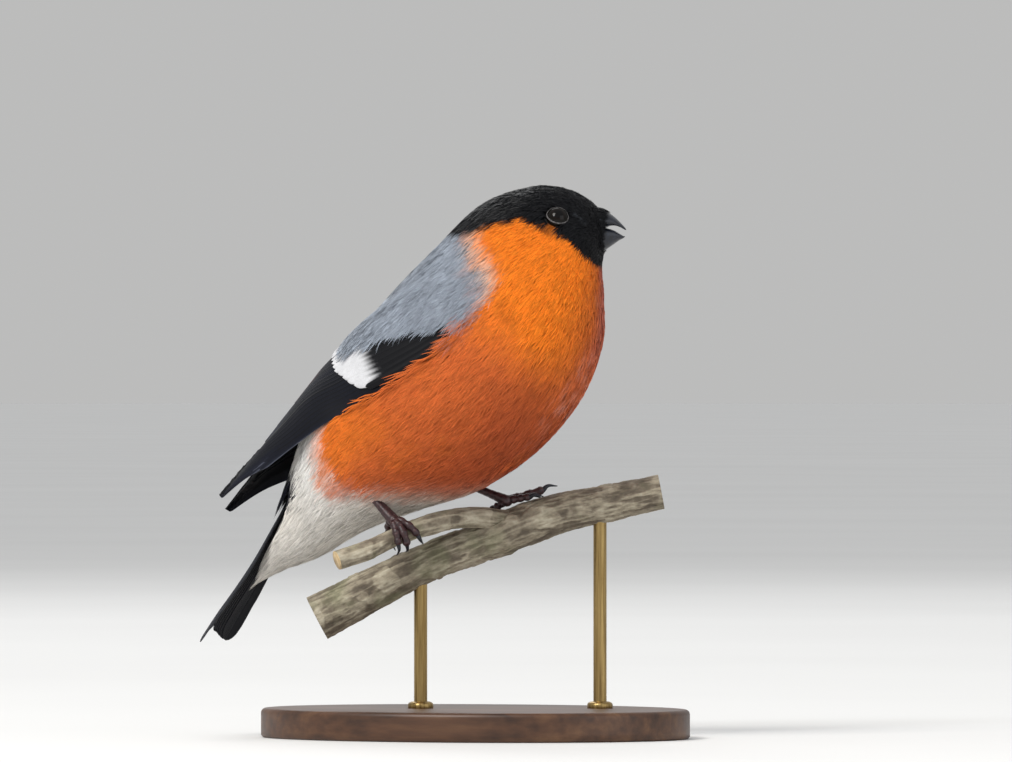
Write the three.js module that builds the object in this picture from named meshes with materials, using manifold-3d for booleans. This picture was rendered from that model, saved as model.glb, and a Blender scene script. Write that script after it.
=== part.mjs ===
// Male bullfinch standing on a short cut length of branch, life size.
// Millimetres, +Z up. The bird faces +X, its left side is +Y.
import * as THREE from "three";
import Module from "manifold-3d";

const wasm = await Module();
wasm.setup();

// ---------------------------------------------------------------- sizes (mm)
const GAP = 0.3;                  // clearance between neighbouring pieces
const HEAD_YAW = 12;              // degrees, head turned to the bird's left
const NECK_X = 24;                // pivot of that turn
const YAW_FULL = 2.5, YAW_NONE = 8.5;   // stations where the turn is full / gone

const EYE = { x: 28.2, y: 8.1, z: 125.5, r: 2.9 };
const BILL_ROOT_X = 35.4;         // buried end of both mandibles
const TAIL_LENGTH = 61;
const TAIL_HALF_WIDTH = 10.4;     // at the tip of the closed tail
const TAIL_ARCH = 2.0;            // drop of the outer tail feathers
const WING_DROOP = 1.75;          // degrees, the left wing hangs lower
const WING_SLIDE = 2.85;          // and sits this much further back
const COVERT_THICK = 2.2, QUILL_THICK = 1.3, WING_TIP_THICK = 0.8;
const WING_OUT = 1.1;             // how far a closed wing stands off the flank

const PICTURE_YAW = 18 * Math.PI / 180;   // the branch runs at this angle to X
const BRANCH_O = [12.84, 4.17];

const BASE = { x: 5, y: 4, rx: 53, ry: 38, h: 7, bevel: 1.2 };
const ROD_R = 1.6, ROD_SINK = 3.5, ROD_REACH = 4.0;

// Sections of head, neck and trunk down the spine, forehead to the end of the
// undertail coverts: station, x, z, tilt (degrees), half depth, half width,
// egg (how much wider the lower half is).
const BODY = [
  [0, 38.1, 122.0, 94, 4.6, 4.3, 0.00],
  [1, 36.4, 122.5, 103, 7.2, 6.6, 0.03],
  [2, 34.2, 122.6, 111, 9.8, 8.7, 0.07],
  [3, 31.8, 121.6, 118, 12.8, 10.6, 0.08],
  [4, 29.2, 119.4, 124, 16.0, 12.7, 0.12],
  [6, 23.0, 111.5, 131, 22.4, 17.8, 0.15],
  [8, 14.4, 99.6, 133.5, 25.4, 22.7, 0.11],
  [10, 2.9, 87.4, 133.4, 25.9, 24.9, 0.05],
  [12, -9.9, 76.1, 134.3, 23.3, 22.9, 0.00],
  [14, -21.7, 67.2, 135.2, 17.9, 17.2, 0.00],
  [16, -30.6, 58.7, 132.0, 12.3, 11.8, 0.00],
  [18, -38.5, 50.5, 118.0, 8.6, 7.9, 0.00],
  [20, -45.4, 44.6, 101.0, 4.6, 4.4, 0.00],
];
const HEAD_END = 4.6, NECK_END = 6.6, BODY_END = 20;

// Closed wing, shoulder to tip: lower edge, middle and upper edge. Up to the
// rump they follow the flank [station, degrees from the back]; past it they
// are free [x, |y|, z].
const WING_P = [0, 0.12, 0.31, 0.44, 0.57, 0.70, 0.88, 1];
const WING_LOW = [[7.8, 84], [9.1, 85], [10.95, 79], [12.2, 71.5], [13.5, 60],
  [-36.2, 13.6, 70.4], [-49.3, 8.2, 63.6], [-57.6, 4.6, 57.5]];
const WING_UP = [[7.5, 66], [8.3, 55], [10.2, 35], [11.8, 13], [-33.0, 2.6, 86.0],
  [-40.3, 2.2, 77.6], [-50.8, 2.6, 64.9], [-57.2, 3.4, 58.0]];
const WING_MID_FREE = [[-39.3, 9.4, 75.6], [-50.6, 6.1, 64.9], [-57.5, 4.1, 57.9]];

// Closed tail, middle line from under the coverts to the tip: x, z.
const TAIL_LINE = [[-30.6, 74.4], [-34.6, 68.0], [-38.4, 61.5], [-42.0, 55.4],
  [-45.5, 49.4], [-49.4, 42.7], [-53.6, 36.4], [-58.0, 30.4], [-62.6, 23.7]];
const TAIL_FROM = 0.23;           // fraction of the line where the node starts

// Mandible profiles against x: x, z of the top, z of the bottom, half width.
const BILL_UPPER = [[35.4, 126.9, 121.9, 3.9], [37.2, 127.3, 122.6, 3.9], [39.0, 126.6, 123.1, 3.4],
  [40.7, 125.5, 123.3, 2.6], [42.2, 124.1, 122.9, 1.6], [43.3, 122.9, 122.3, 0.6]];
const BILL_LOWER = [[35.4, 121.5, 115.9, 3.6], [37.2, 122.2, 116.4, 3.6], [39.0, 122.6, 117.7, 3.1],
  [40.6, 122.2, 118.8, 2.4], [42.0, 121.4, 119.8, 1.5], [43.0, 120.8, 120.3, 0.6]];

// Branch and side stem: u across the picture plane, z, depth behind it, radius.
const BRANCH = [[-45.6, 28.7, 5, 5.7], [-35, 34.2, 5, 5.35], [-25.3, 39.2, 5, 4.95], [-15.7, 43.5, 5, 4.7],
  [-6.2, 47.0, 5, 4.8], [3.4, 50.8, 5, 5.25], [13, 54.1, 5, 4.95], [22.6, 56.1, 5, 4.5], [32.3, 58.2, 5, 4.4],
  [37.5, 59.2, 5, 4.3]];
const STEM = [[-40.5, 42.9, -12.2, 2.35], [-33, 45.5, -9.4, 2.3], [-26, 48.8, -6.6, 2.3],
  [-17, 51.9, -3.2, 2.4], [-8.5, 53.1, 0.6, 2.5], [1, 52.3, 4.2, 2.6]];

// ------------------------------------------------------------------- helpers
const rad = (d) => d * Math.PI / 180;
const mix = (a, b, t) => a + (b - a) * t;
const clamp01 = (x) => Math.min(1, Math.max(0, x));
const smooth = (a, b, x) => { const t = clamp01((x - a) / (b - a)); return t * t * (3 - 2 * t); };
const V = (x, y, z) => new THREE.Vector3(x, y, z);

// Smooth interpolation of rows [key, v1, v2, ...]; keeps going past the ends.
function spline(rows, key) {
  const n = rows.length;
  let i = 0;
  while (i < n - 2 && key > rows[i + 1][0]) i++;
  const a = rows[i], b = rows[i + 1], h = b[0] - a[0], t = (key - a[0]) / h;
  const out = [];
  for (let c = 1; c < a.length; c++) {
    const slope = (j) => {
      const p = rows[Math.max(0, j - 1)], q = rows[Math.min(n - 1, j + 1)];
      return (q[c] - p[c]) / (q[0] - p[0]);
    };
    const t2 = t * t, t3 = t2 * t;
    out.push((2 * t3 - 3 * t2 + 1) * a[c] + (t3 - 2 * t2 + t) * h * slope(i)
      + (3 * t2 - 2 * t3) * b[c] + (t3 - t2) * h * slope(i + 1));
  }
  return out;
}

// Closed solid from rings of points. Ends are closed by a fan, or, for a curved
// plate whose ring runs out along one face and back along the other, by a strip.
function loft(rings, plate = false) {
  const n = rings[0].length, pos = [], idx = [];
  for (const r of rings) for (const p of r) pos.push(p.x, p.y, p.z);
  for (let i = 0; i + 1 < rings.length; i++)
    for (let j = 0; j < n; j++) {
      const a = i * n + j, b = i * n + (j + 1) % n, c = a + n, d = b + n;
      idx.push(a, c, b, b, c, d);
    }
  const cap = (ring, base, flip) => {
    if (plate) {
      for (let j = 0; j < n / 2 - 1; j++) {
        const a = base + j, b = a + 1, c = base + n - 1 - j, d = c - 1;
        flip ? idx.push(a, d, b, a, c, d) : idx.push(a, b, d, a, d, c);
      }
      return;
    }
    const m = ring.reduce((s, p) => s.add(p), V(0, 0, 0)).multiplyScalar(1 / n);
    const k = pos.length / 3;
    pos.push(m.x, m.y, m.z);
    for (let j = 0; j < n; j++) {
      const a = base + j, b = base + (j + 1) % n;
      flip ? idx.push(k, b, a) : idx.push(k, a, b);
    }
  };
  cap(rings[0], 0, false);
  cap(rings[rings.length - 1], (rings.length - 1) * n, true);
  const g = new THREE.BufferGeometry();
  g.setAttribute("position", new THREE.Float32BufferAttribute(pos, 3));
  g.setIndex(idx);
  return outward(g);
}

function volume(g) {
  const p = g.attributes.position, ix = g.index;
  let v = 0;
  const a = V(), b = V(), c = V();
  for (let i = 0; i < ix.count; i += 3) {
    a.fromBufferAttribute(p, ix.getX(i)); b.fromBufferAttribute(p, ix.getX(i + 1)); c.fromBufferAttribute(p, ix.getX(i + 2));
    v += a.dot(b.cross(c));
  }
  return v / 6;
}
function outward(g) {
  if (volume(g) < 0) {
    const a = g.index.array;
    for (let i = 0; i < a.length; i += 3) { const t = a[i]; a[i] = a[i + 1]; a[i + 1] = t; }
  }
  return g;
}

function solid(g) {
  const p = g.attributes.position;
  const m = new wasm.Mesh({ numProp: 3, vertProperties: Float32Array.from(p.array), triVerts: Uint32Array.from(g.index.array) });
  m.merge();
  return new wasm.Manifold(m);
}
function largest(m) {
  const parts = m.decompose();
  if (parts.length < 2) return m;
  return parts.reduce((a, b) => (b.volume() > a.volume() ? b : a));
}
function geometry(m) {
  const mesh = m.getMesh(), n = mesh.numProp, k = mesh.vertProperties.length / n;
  const pos = new Float32Array(k * 3);
  for (let i = 0; i < k; i++) for (let c = 0; c < 3; c++) pos[3 * i + c] = mesh.vertProperties[n * i + c];
  const g = new THREE.BufferGeometry();
  g.setAttribute("position", new THREE.BufferAttribute(pos, 3));
  g.setIndex(new THREE.BufferAttribute(Uint32Array.from(mesh.triVerts), 1));
  return g;
}

// Round tube down a curve; radius and flattening may change along it.
function tube(curve, radius, steps, sides, from = 0, to = 1, domed = true) {
  const f = curve.computeFrenetFrames(steps * 4, false), rings = [];
  const ring = (u, r, shift) => {
    const k = Math.round(clamp01(u) * steps * 4);
    const c = curve.getPointAt(clamp01(u)).add(f.tangents[k].clone().multiplyScalar(shift));
    return Array.from({ length: sides }, (_, j) => {
      const a = 2 * Math.PI * j / sides;
      return c.clone().addScaledVector(f.normals[k], r * Math.cos(a)).addScaledVector(f.binormals[k], r * Math.sin(a));
    });
  };
  const r0 = radius(from), r1 = radius(to);
  if (domed) rings.push(ring(from, r0 * 0.55, -r0 * 0.62));
  for (let i = 0; i <= steps; i++) { const u = mix(from, to, i / steps); rings.push(ring(u, radius(u), 0)); }
  if (domed) rings.push(ring(to, r1 * 0.55, r1 * 0.62));
  return loft(rings);
}

// ---------------------------------------------------------------------- body
function turned(p, k) {
  const a = rad(HEAD_YAW) * (1 - smooth(YAW_FULL, YAW_NONE, k));
  const x = p.x - NECK_X, y = p.y;
  return V(NECK_X + x * Math.cos(a) - y * Math.sin(a), x * Math.sin(a) + y * Math.cos(a), p.z);
}
function bodyPoint(k, t) {
  const [x, z, tilt, d, w, egg] = spline(BODY, k);
  const a = d * Math.cos(t), c = rad(tilt);
  return turned(V(x + a * Math.cos(c), w * Math.sin(t) * (1 - egg * Math.cos(t)), z + a * Math.sin(c)), k);
}
function bodyNormal(k, t) {
  const e = 0.01;
  const du = bodyPoint(k + e, t).sub(bodyPoint(k - e, t)), dv = bodyPoint(k, t + e).sub(bodyPoint(k, t - e));
  const n = du.cross(dv).normalize();
  const [x, z] = spline(BODY, k);
  return n.dot(bodyPoint(k, t).sub(turned(V(x, 0, z), k))) < 0 ? n.negate() : n;
}
function bodyPiece(k0, k1, steps, around, roundTail = false) {
  const rings = [];
  for (let i = 0; i <= steps; i++) {
    const k = mix(k0, k1, i / steps);
    rings.push(Array.from({ length: around }, (_, j) => bodyPoint(k, 2 * Math.PI * j / around)));
  }
  if (roundTail) {
    const last = rings[rings.length - 1], prev = rings[rings.length - 2];
    const m = last.reduce((s, p) => s.add(p), V(0, 0, 0)).multiplyScalar(1 / around);
    const m0 = prev.reduce((s, p) => s.add(p), V(0, 0, 0)).multiplyScalar(1 / around);
    const dir = m.clone().sub(m0).normalize();
    for (const [f, s] of [[0.72, 1.5], [0.36, 2.5]])
      rings.push(last.map((p) => m.clone().lerp(p, f).addScaledVector(dir, s)));
  }
  return loft(rings);
}

// --------------------------------------------------------------------- wings
function onFlank([k, deg], out) {
  const t = rad(deg);
  const p = bodyPoint(k, t).addScaledVector(bodyNormal(k, t), out);
  return [p.x, p.y, p.z];
}
const wingRows = { low: [], mid: [], up: [] };
WING_P.forEach((p, i) => {
  const lo = WING_LOW[i], up = WING_UP[i];
  const pick = (v) => (v.length === 2 ? onFlank(v, WING_OUT) : v);
  const low = pick(lo), top = pick(up);
  let mid;
  if (lo.length === 2 && up.length === 2) mid = onFlank([(lo[0] + up[0]) / 2, (lo[1] + up[1]) / 2], WING_OUT + 0.2);
  else if (lo.length === 2) mid = [(low[0] + top[0]) / 2 - 1.6, (low[1] + top[1]) / 2 + 3.2, (low[2] + top[2]) / 2 + 1.9];
  else mid = WING_MID_FREE[i - (WING_P.length - WING_MID_FREE.length)];
  wingRows.low.push([p, ...low]); wingRows.mid.push([p, ...mid]); wingRows.up.push([p, ...top]);
});
function wingSurface(p, q) {
  const a = spline(wingRows.low, p), b = spline(wingRows.mid, p), c = spline(wingRows.up, p);
  return V(...a.map((_, i) => {
    const m = 2 * b[i] - (a[i] + c[i]) / 2;
    return (1 - q) * (1 - q) * a[i] + 2 * q * (1 - q) * m + q * q * c[i];
  }));
}
function wingPoint(p, q, depth) {
  const e = 0.004;
  const du = wingSurface(p + e, q).sub(wingSurface(p - e, q)), dv = wingSurface(p, q + e).sub(wingSurface(p, q - e));
  const n = du.cross(dv).normalize();
  if (n.y < 0) n.negate();
  return wingSurface(p, q).addScaledVector(n, -depth);
}
// Plate over part of the wing: p from p0 to p1, q between q0(p) and q1(p).
function wingPlate(p0, p1, q0, q1, outer, inner, steps, across, grow = 0) {
  const rings = [], rows = Array.from({ length: steps + 1 }, (_, i) => mix(p0, p1, i / steps));
  if (grow) { rows.unshift(p0 - grow); rows.push(p1 + grow); }
  for (const p of rows) {
    const cols = Array.from({ length: across + 1 }, (_, j) => mix(q0(p), q1(p), j / across));
    if (grow) { cols.unshift(cols[0] - 0.03); cols.push(cols[across + 1] + 0.03); }
    rings.push([...cols.map((q) => wingPoint(p, q, outer(p))), ...cols.reverse().map((q) => wingPoint(p, q, inner(p)))]);
  }
  return loft(rings, true);
}
const COVERT_END = 0.40, TERTIAL_END = 0.80;
const thick = (p) => (p < COVERT_END ? COVERT_THICK : mix(QUILL_THICK, WING_TIP_THICK, (p - COVERT_END) / (1 - COVERT_END)));
const split = (p) => 0.46 + 0.42 * smooth(0.62, TERTIAL_END, p);   // tertials above, primaries below
function wing(side) {
  const zero = () => 0, one = () => 1, cut = 0.005;
  const primaryTop = (p) => Math.min(1, split(p) - 0.02 + smooth(TERTIAL_END, TERTIAL_END + 0.03, p));
  const pieces = {
    coverts: wingPlate(0, COVERT_END - cut, zero, one, zero, () => COVERT_THICK, 7, 5),
    secondaries: wingPlate(COVERT_END, TERTIAL_END, (p) => split(p) + 0.02, one, zero, thick, 12, 2),
    primaries: wingPlate(COVERT_END, 1, zero, primaryTop, zero, thick, 9, 3),
  };
  // what the flank loses: everything outside the wing's inner face, a gap wider on every side
  const far = () => -7, deep = (p) => thick(p) + GAP;
  const cutters = [
    wingPlate(0, COVERT_END - cut, zero, one, far, () => COVERT_THICK + GAP, 7, 5, 0.006),
    wingPlate(COVERT_END, TERTIAL_END, (p) => split(p) + 0.02, one, far, deep, 12, 2, 0.006),
    wingPlate(COVERT_END, 1, zero, primaryTop, far, deep, 9, 3, 0.006),
  ];
  const move = new THREE.Matrix4();
  if (side < 0) move.makeScale(1, -1, 1);
  if (side > 0) {
    const pivot = wingSurface(0.05, 0.5);
    move.makeTranslation(pivot.x - WING_SLIDE * 0.8, -0.4, pivot.z - WING_SLIDE * 0.5)
      .multiply(new THREE.Matrix4().makeRotationY(rad(-WING_DROOP)))
      .multiply(new THREE.Matrix4().makeTranslation(-pivot.x, 0, -pivot.z));
  }
  const place = (g) => outward(g.applyMatrix4(move));
  for (const k in pieces) place(pieces[k]);
  return { pieces, cutter: cutters.map((c) => solid(place(c))).reduce((a, b) => a.add(b)) };
}

// ---------------------------------------------------------------------- tail
const tailCurve = new THREE.CatmullRomCurve3(TAIL_LINE.map(([x, z]) => V(x, 0, z)));
function tailHalf(u) { return mix(4.2, TAIL_HALF_WIDTH, smooth(0.05, 0.95, u)); }
function tailPoint(u, v, depth) {
  const c = tailCurve.getPointAt(clamp01(u)), t = tailCurve.getTangentAt(clamp01(u));
  c.addScaledVector(t, (u - clamp01(u)) * TAIL_LENGTH);
  const n = V(t.z, 0, -t.x);           // towards the belly side
  if (n.x < 0) n.negate();
  const drop = TAIL_ARCH * v * v * smooth(0.1, 0.6, u);
  return c.add(V(0, v * tailHalf(u), 0)).addScaledVector(n, drop + depth);
}
function tailPlate(u0, u1, top, bottom, grow, steps, across) {
  const rings = [];
  for (let i = 0; i <= steps; i++) {
    const u = mix(u0, u1, i / steps), ring = [];
    const notch = (v) => u - 0.018 * smooth(0.85, 1, u) * (1 - v * v);   // faint fork
    const wide = 1 + grow / tailHalf(u);
    for (let j = 0; j <= across; j++) { const v = mix(-1, 1, j / across); ring.push(tailPoint(notch(v), v * wide, top(u))); }
    for (let j = across; j >= 0; j--) { const v = mix(-1, 1, j / across); ring.push(tailPoint(notch(v), v * wide, bottom(u))); }
    rings.push(ring);
  }
  return loft(rings, true);
}
const tailThick = (u) => mix(2.0, 0.9, smooth(0.3, 1, u));

// ---------------------------------------------------------------------- bill
function mandible(rows, upper, grow) {
  const rings = [], sides = 12, cuts = 7;
  const xs = [];
  for (let i = 0; i <= cuts; i++) xs.push(mix(rows[0][0], rows[rows.length - 1][0], 1 - Math.pow(1 - i / cuts, 1.25)));
  for (const x of xs) {
    const [top, bottom, half] = spline(rows, x);
    const c = (top + bottom) / 2, h = (top - bottom) / 2 + grow, w = half + grow, ring = [];
    for (let j = 0; j < sides; j++) {
      const a = 2 * Math.PI * j / sides, cs = Math.cos(a), sn = Math.sin(a);
      // the cutting edge side is flatter, the ridge side rounder
      const flat = upper ? sn < 0 : sn > 0;
      const zz = flat ? Math.sign(sn) * Math.pow(Math.abs(sn), 0.5) * h : sn * h;
      const lift = upper ? -0.18 * h : 0.18 * h;
      ring.push(V(x, cs * w * (flat ? 1 : Math.sqrt(1 - 0.12 * sn * sn)), c + zz + lift * (1 - Math.abs(sn))));
    }
    rings.push(ring.map((p) => turned(p, 0)));
  }
  if (grow === 0) {
    const last = rings[rings.length - 1];
    const m = last.reduce((s, p) => s.add(p), V(0, 0, 0)).multiplyScalar(1 / sides);
    rings.push(last.map((p) => m.clone().lerp(p, 0.35).add(turned(V(NECK_X + 0.35, 0, upper ? -0.25 : 0.12), 0).sub(V(NECK_X, 0, 0)))));
  }
  return loft(rings);
}

// ---------------------------------------------------------------------- eyes
function eyeAt(side, grow) {
  const g = new THREE.SphereGeometry(EYE.r + grow, 12, 9);
  g.deleteAttribute("normal"); g.deleteAttribute("uv");
  const p = turned(V(EYE.x, side * EYE.y, EYE.z), 0);
  g.translate(p.x, p.y, p.z);
  return solid(weld(g));
}
function weld(g) {
  const p = g.attributes.position, map = new Map(), pos = [], idx = [], back = [];
  for (let i = 0; i < p.count; i++) {
    const key = [p.getX(i), p.getY(i), p.getZ(i)].map((v) => Math.round(v * 1e4)).join();
    if (!map.has(key)) { map.set(key, pos.length / 3); pos.push(p.getX(i), p.getY(i), p.getZ(i)); }
    back.push(map.get(key));
  }
  const ix = g.index ? Array.from(g.index.array) : back.map((_, i) => i);
  for (let i = 0; i < ix.length; i += 3) {
    const [a, b, c] = [back[ix[i]], back[ix[i + 1]], back[ix[i + 2]]];
    if (a !== b && b !== c && a !== c) idx.push(a, b, c);
  }
  const out = new THREE.BufferGeometry();
  out.setAttribute("position", new THREE.Float32BufferAttribute(pos, 3));
  out.setIndex(idx);
  return outward(out);
}

// --------------------------------------------------------------------- perch
const across = V(Math.cos(PICTURE_YAW), Math.sin(PICTURE_YAW), 0);
const away = V(-Math.sin(PICTURE_YAW), Math.cos(PICTURE_YAW), 0);
const inPicture = (u, z, w) => V(BRANCH_O[0], BRANCH_O[1], z).addScaledVector(across, u).addScaledVector(away, w);
const limb = (rows) => {
  const curve = new THREE.CatmullRomCurve3(rows.map(([u, z, w]) => inPicture(u, z, w)));
  curve.arcLengthDivisions = 400;
  const table = rows.map((r, i) => [i / (rows.length - 1), r[3]]);
  return { curve, radius: (u) => spline(table, curve.getUtoTmapping(clamp01(u)))[0] };
};
const branch = limb(BRANCH), stem = limb(STEM);
const nearest = (l, u) => {           // place along a limb, from the picture coordinate
  let best = 0, dist = 1e9;
  for (let i = 0; i <= 400; i++) {
    const p = l.curve.getPointAt(i / 400).sub(V(BRANCH_O[0], BRANCH_O[1], 0));
    const d = Math.abs(p.dot(across) - u);
    if (d < dist) { dist = d; best = i / 400; }
  }
  return best;
};
// A point beside a limb: s along it, phi round it from the top towards the viewer's side.
function beside(l, s, phi, r) {
  const c = l.curve.getPointAt(clamp01(s)), t = l.curve.getTangentAt(clamp01(s));
  const n = V(0, 0, 1).addScaledVector(t, -t.z).normalize(), side = t.clone().cross(n);
  return c.addScaledVector(n, r * Math.cos(phi)).addScaledVector(side, r * Math.sin(phi));
}

// ---------------------------------------------------------------------- legs
// Each toe: travel along the limb (mm), degrees round it, base radius; the pad
// sits on top of the limb. Toes 2, 3, 4 point forward, toe 1 back.
const FEET = {
  right: {
    limb: stem, u: -26, lean: 6, y: -10,
    knee: [-22.6, -8.6, 64.6], toes: [[4.6, 150, 1.0], [0.4, 175, 1.05], [-2.6, 160, 0.95], [-1.0, -140, 1.0]],
  },
  left: {
    limb: branch, u: 2.6, lean: 0, y: 10,
    knee: [-2.8, 8.4, 63.2], toes: [[8.0, 38, 0.95], [11.5, 2, 1.05], [7.6, -42, 0.95], [-6.5, -34, 1.0]],
  },
};
const CLAW_LENGTH = 4.6, CLAW_R = 0.62, TARSUS_R = 1.05;
function leg(foot, grow) {
  const l = foot.limb, s0 = nearest(l, foot.u), len = l.curve.getLength();
  const R = l.radius(s0);
  const pad = beside(l, s0, rad(foot.lean), R + 1.25 + GAP);
  const knee = V(...foot.knee);
  const pieces = [], claws = [];
  const shank = new THREE.CatmullRomCurve3([knee, knee.clone().lerp(pad, 0.5), pad.clone().add(V(0, 0, 0.3))]);
  pieces.push(solid(tube(shank, (u) => TARSUS_R + 0.35 * smooth(0.75, 1, u) + 0.25 * smooth(0.3, 0, u) + grow, 4, 8)));
  if (grow > 0) return { body: pieces[0], claws };
  const ball = new THREE.SphereGeometry(1.45, 8, 6).translate(pad.x, pad.y, pad.z + 0.25);
  ball.deleteAttribute("normal"); ball.deleteAttribute("uv");
  pieces.push(solid(weld(ball)));
  foot.toes.forEach(([run, turn, r]) => {
    const pts = [], n = 8;
    for (let i = 0; i <= n; i++) {
      const f = i / n, phi = rad(foot.lean + (turn - foot.lean) * f * (0.55 + 0.45 * f));
      const s = s0 + run * f / len;
      // the toe leaves the pad high and settles on the bark
      pts.push(beside(l, s, phi, l.radius(s) + r + GAP + 0.12 + 0.5 * (1 - smooth(0, 0.35, f))));
    }
    const curve = new THREE.CatmullRomCurve3(pts);
    const joints = (u) => (r - 0.16 * u) * (1 + 0.10 * Math.cos(u * Math.PI * 6));
    const reach = Math.hypot(run, rad(Math.abs(turn)) * (R + r));
    const end = clamp01((reach - CLAW_LENGTH * 0.75) / reach);
    pieces.push(solid(tube(curve, joints, 6, 6, 0, end)));
    // claw: on from the toe's end, a little sharper in bend, tapering to a point
    const a = curve.getPointAt(end), dir = curve.getTangentAt(end);
    const last = curve.getPointAt(1);
    const centre = l.curve.getPointAt(clamp01(s0 + run / len));
    const outw = a.clone().sub(centre).normalize();
    const root = a.clone().addScaledVector(dir, joints(end) * 0.62 + GAP + 0.02);
    const tip = last.clone().addScaledVector(dir, 0.6).addScaledVector(outw, 0.1);
    const mid = root.clone().lerp(tip, 0.5).addScaledVector(outw, 0.75);
    const cc = new THREE.CatmullRomCurve3([root, mid, tip]);
    claws.push(solid(tube(cc, (u) => mix(CLAW_R, 0.2, Math.pow(u, 0.8)), 3, 6, 0, 1, false)));
  });
  return { body: pieces.reduce((a, b) => a.add(b)), claws };
}

// --------------------------------------------------------------------- build
const root = new THREE.Group();
root.name = "bullfinch";
const colours = {
  plumage_black: 0x15161c, plumage_orange: 0xd4691f, plumage_grey: 0x9a9aa3, plumage_blue_black: 0x141a2a,
  horn: 0x24262c, eye: 0x0b0908, skin_scales: 0x3a2a2c, bark: 0x8d8578, base_wood: 0x4a3527, rod_metal: 0xa08a5a,
};
const materials = Object.fromEntries(Object.entries(colours).map(([k, c]) => {
  const m = new THREE.MeshStandardMaterial({ color: c, roughness: k === "eye" ? 0.1 : 0.7, metalness: k === "rod_metal" ? 0.9 : 0 });
  m.name = k;
  return [k, m];
}));
function put(name, m, material) {
  const g = m instanceof THREE.BufferGeometry ? m : geometry(m);
  g.computeVertexNormals();
  const mesh = new THREE.Mesh(g, materials[material]);
  mesh.name = name;
  root.add(mesh);
}

const rightWing = wing(-1), leftWing = wing(1);
const rightLeg = leg(FEET.right, 0), leftLeg = leg(FEET.left, 0);

let head = solid(bodyPiece(0, HEAD_END, 11, 28));
const neck = solid(bodyPiece(HEAD_END + 0.07, NECK_END, 4, 28));
let trunk = solid(bodyPiece(NECK_END + 0.07, BODY_END, 20, 28, true));

head = largest(head.subtract(eyeAt(-1, GAP)).subtract(eyeAt(1, GAP))
  .subtract(solid(mandible(BILL_UPPER, true, GAP))).subtract(solid(mandible(BILL_LOWER, false, GAP))));
trunk = trunk.subtract(rightWing.cutter).subtract(leftWing.cutter);
// the tail's root is let into the rump; past the upper coverts its back is bare
trunk = trunk.subtract(solid(tailPlate(TAIL_FROM - 0.006, 0.37, () => -GAP, (u) => tailThick(u) + GAP, GAP + 0.1, 3, 6)))
  .subtract(solid(tailPlate(0.31, 1.05, () => -14, (u) => tailThick(u) + GAP, 9, 8, 4)));
trunk = trunk.subtract(leg(FEET.right, GAP).body).subtract(leg(FEET.left, GAP).body);
trunk = largest(trunk);

put("head", head, "plumage_black");
put("neck", neck, "plumage_orange");
put("trunk", trunk, "plumage_orange");
put("bill_upper", solid(mandible(BILL_UPPER, true, 0)), "horn");
put("bill_lower", solid(mandible(BILL_LOWER, false, 0)), "horn");
put("eye_right", eyeAt(-1, 0), "eye");
put("eye_left", eyeAt(1, 0), "eye");
for (const [name, w] of [["right", rightWing], ["left", leftWing]]) {
  put(`wing_${name}_coverts`, solid(w.pieces.coverts), "plumage_grey");
  put(`wing_${name}_secondaries`, solid(w.pieces.secondaries), "plumage_blue_black");
  put(`wing_${name}_primaries`, solid(w.pieces.primaries), "plumage_blue_black");
}
put("tail", solid(tailPlate(TAIL_FROM, 1, () => 0, tailThick, 0, 9, 6)), "plumage_blue_black");
for (const [name, l] of [["right", rightLeg], ["left", leftLeg]]) {
  put(`leg_${name}`, l.body, "skin_scales");
  l.claws.forEach((c, i) => put(`claw_${name}_${i + 1}`, c, "horn"));
}

// Perch: branch and side stem in one, drilled for the two rods.
const rods = [-20.7, 22.6].map((u) => {
  const s = nearest(branch, u), c = branch.curve.getPointAt(s), r = branch.radius(s);
  return { x: c.x, y: c.y, z0: BASE.h - ROD_SINK, z1: c.z - r + ROD_REACH };
});
const rodSolid = (rod, grow) => {
  const g = new THREE.CylinderGeometry(ROD_R + grow, ROD_R + grow, rod.z1 - rod.z0 + 2 * grow, 16);
  g.deleteAttribute("normal"); g.deleteAttribute("uv");
  g.rotateX(Math.PI / 2).translate(rod.x, rod.y, (rod.z0 + rod.z1) / 2);
  return solid(weld(g));
};
let perch = solid(tube(branch.curve, branch.radius, 20, 12, 0, 1, false))
  .add(solid(tube(stem.curve, stem.radius, 10, 9, 0, 1, false)));
for (const rod of rods) perch = perch.subtract(rodSolid(rod, GAP));
put("perch_branch", largest(perch), "bark");

// Stand: a flat oval base and two rods.
const profile = [[0, 0], [1 - BASE.bevel * 0.4 / BASE.rx, 0], [1, BASE.bevel * 0.4], [1, BASE.h - BASE.bevel],
  [1 - BASE.bevel / BASE.rx, BASE.h], [0, BASE.h]].map(([r, z]) => new THREE.Vector2(r, z));
const baseShape = new THREE.LatheGeometry(profile, 32);
baseShape.deleteAttribute("normal"); baseShape.deleteAttribute("uv");
baseShape.rotateX(Math.PI / 2).scale(BASE.rx, BASE.ry, 1).translate(BASE.x, BASE.y, 0);
let base = solid(weld(baseShape));
for (const rod of rods) base = base.subtract(rodSolid(rod, GAP));
put("stand_base", base, "base_wood");
rods.forEach((rod, i) => put(`stand_rod_${i + 1}`, rodSolid(rod, 0), "rod_metal"));

// Put the origin at the middle of the bottom of the whole model's box.
const box = new THREE.Box3().setFromObject(root);
const shift = V(-(box.min.x + box.max.x) / 2, -(box.min.y + box.max.y) / 2, -box.min.z);
root.traverse((o) => { if (o.isMesh) o.geometry.translate(shift.x, shift.y, shift.z); });

export default root;
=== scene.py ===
import bpy, math
import numpy as np
from mathutils import Vector, Matrix

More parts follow.
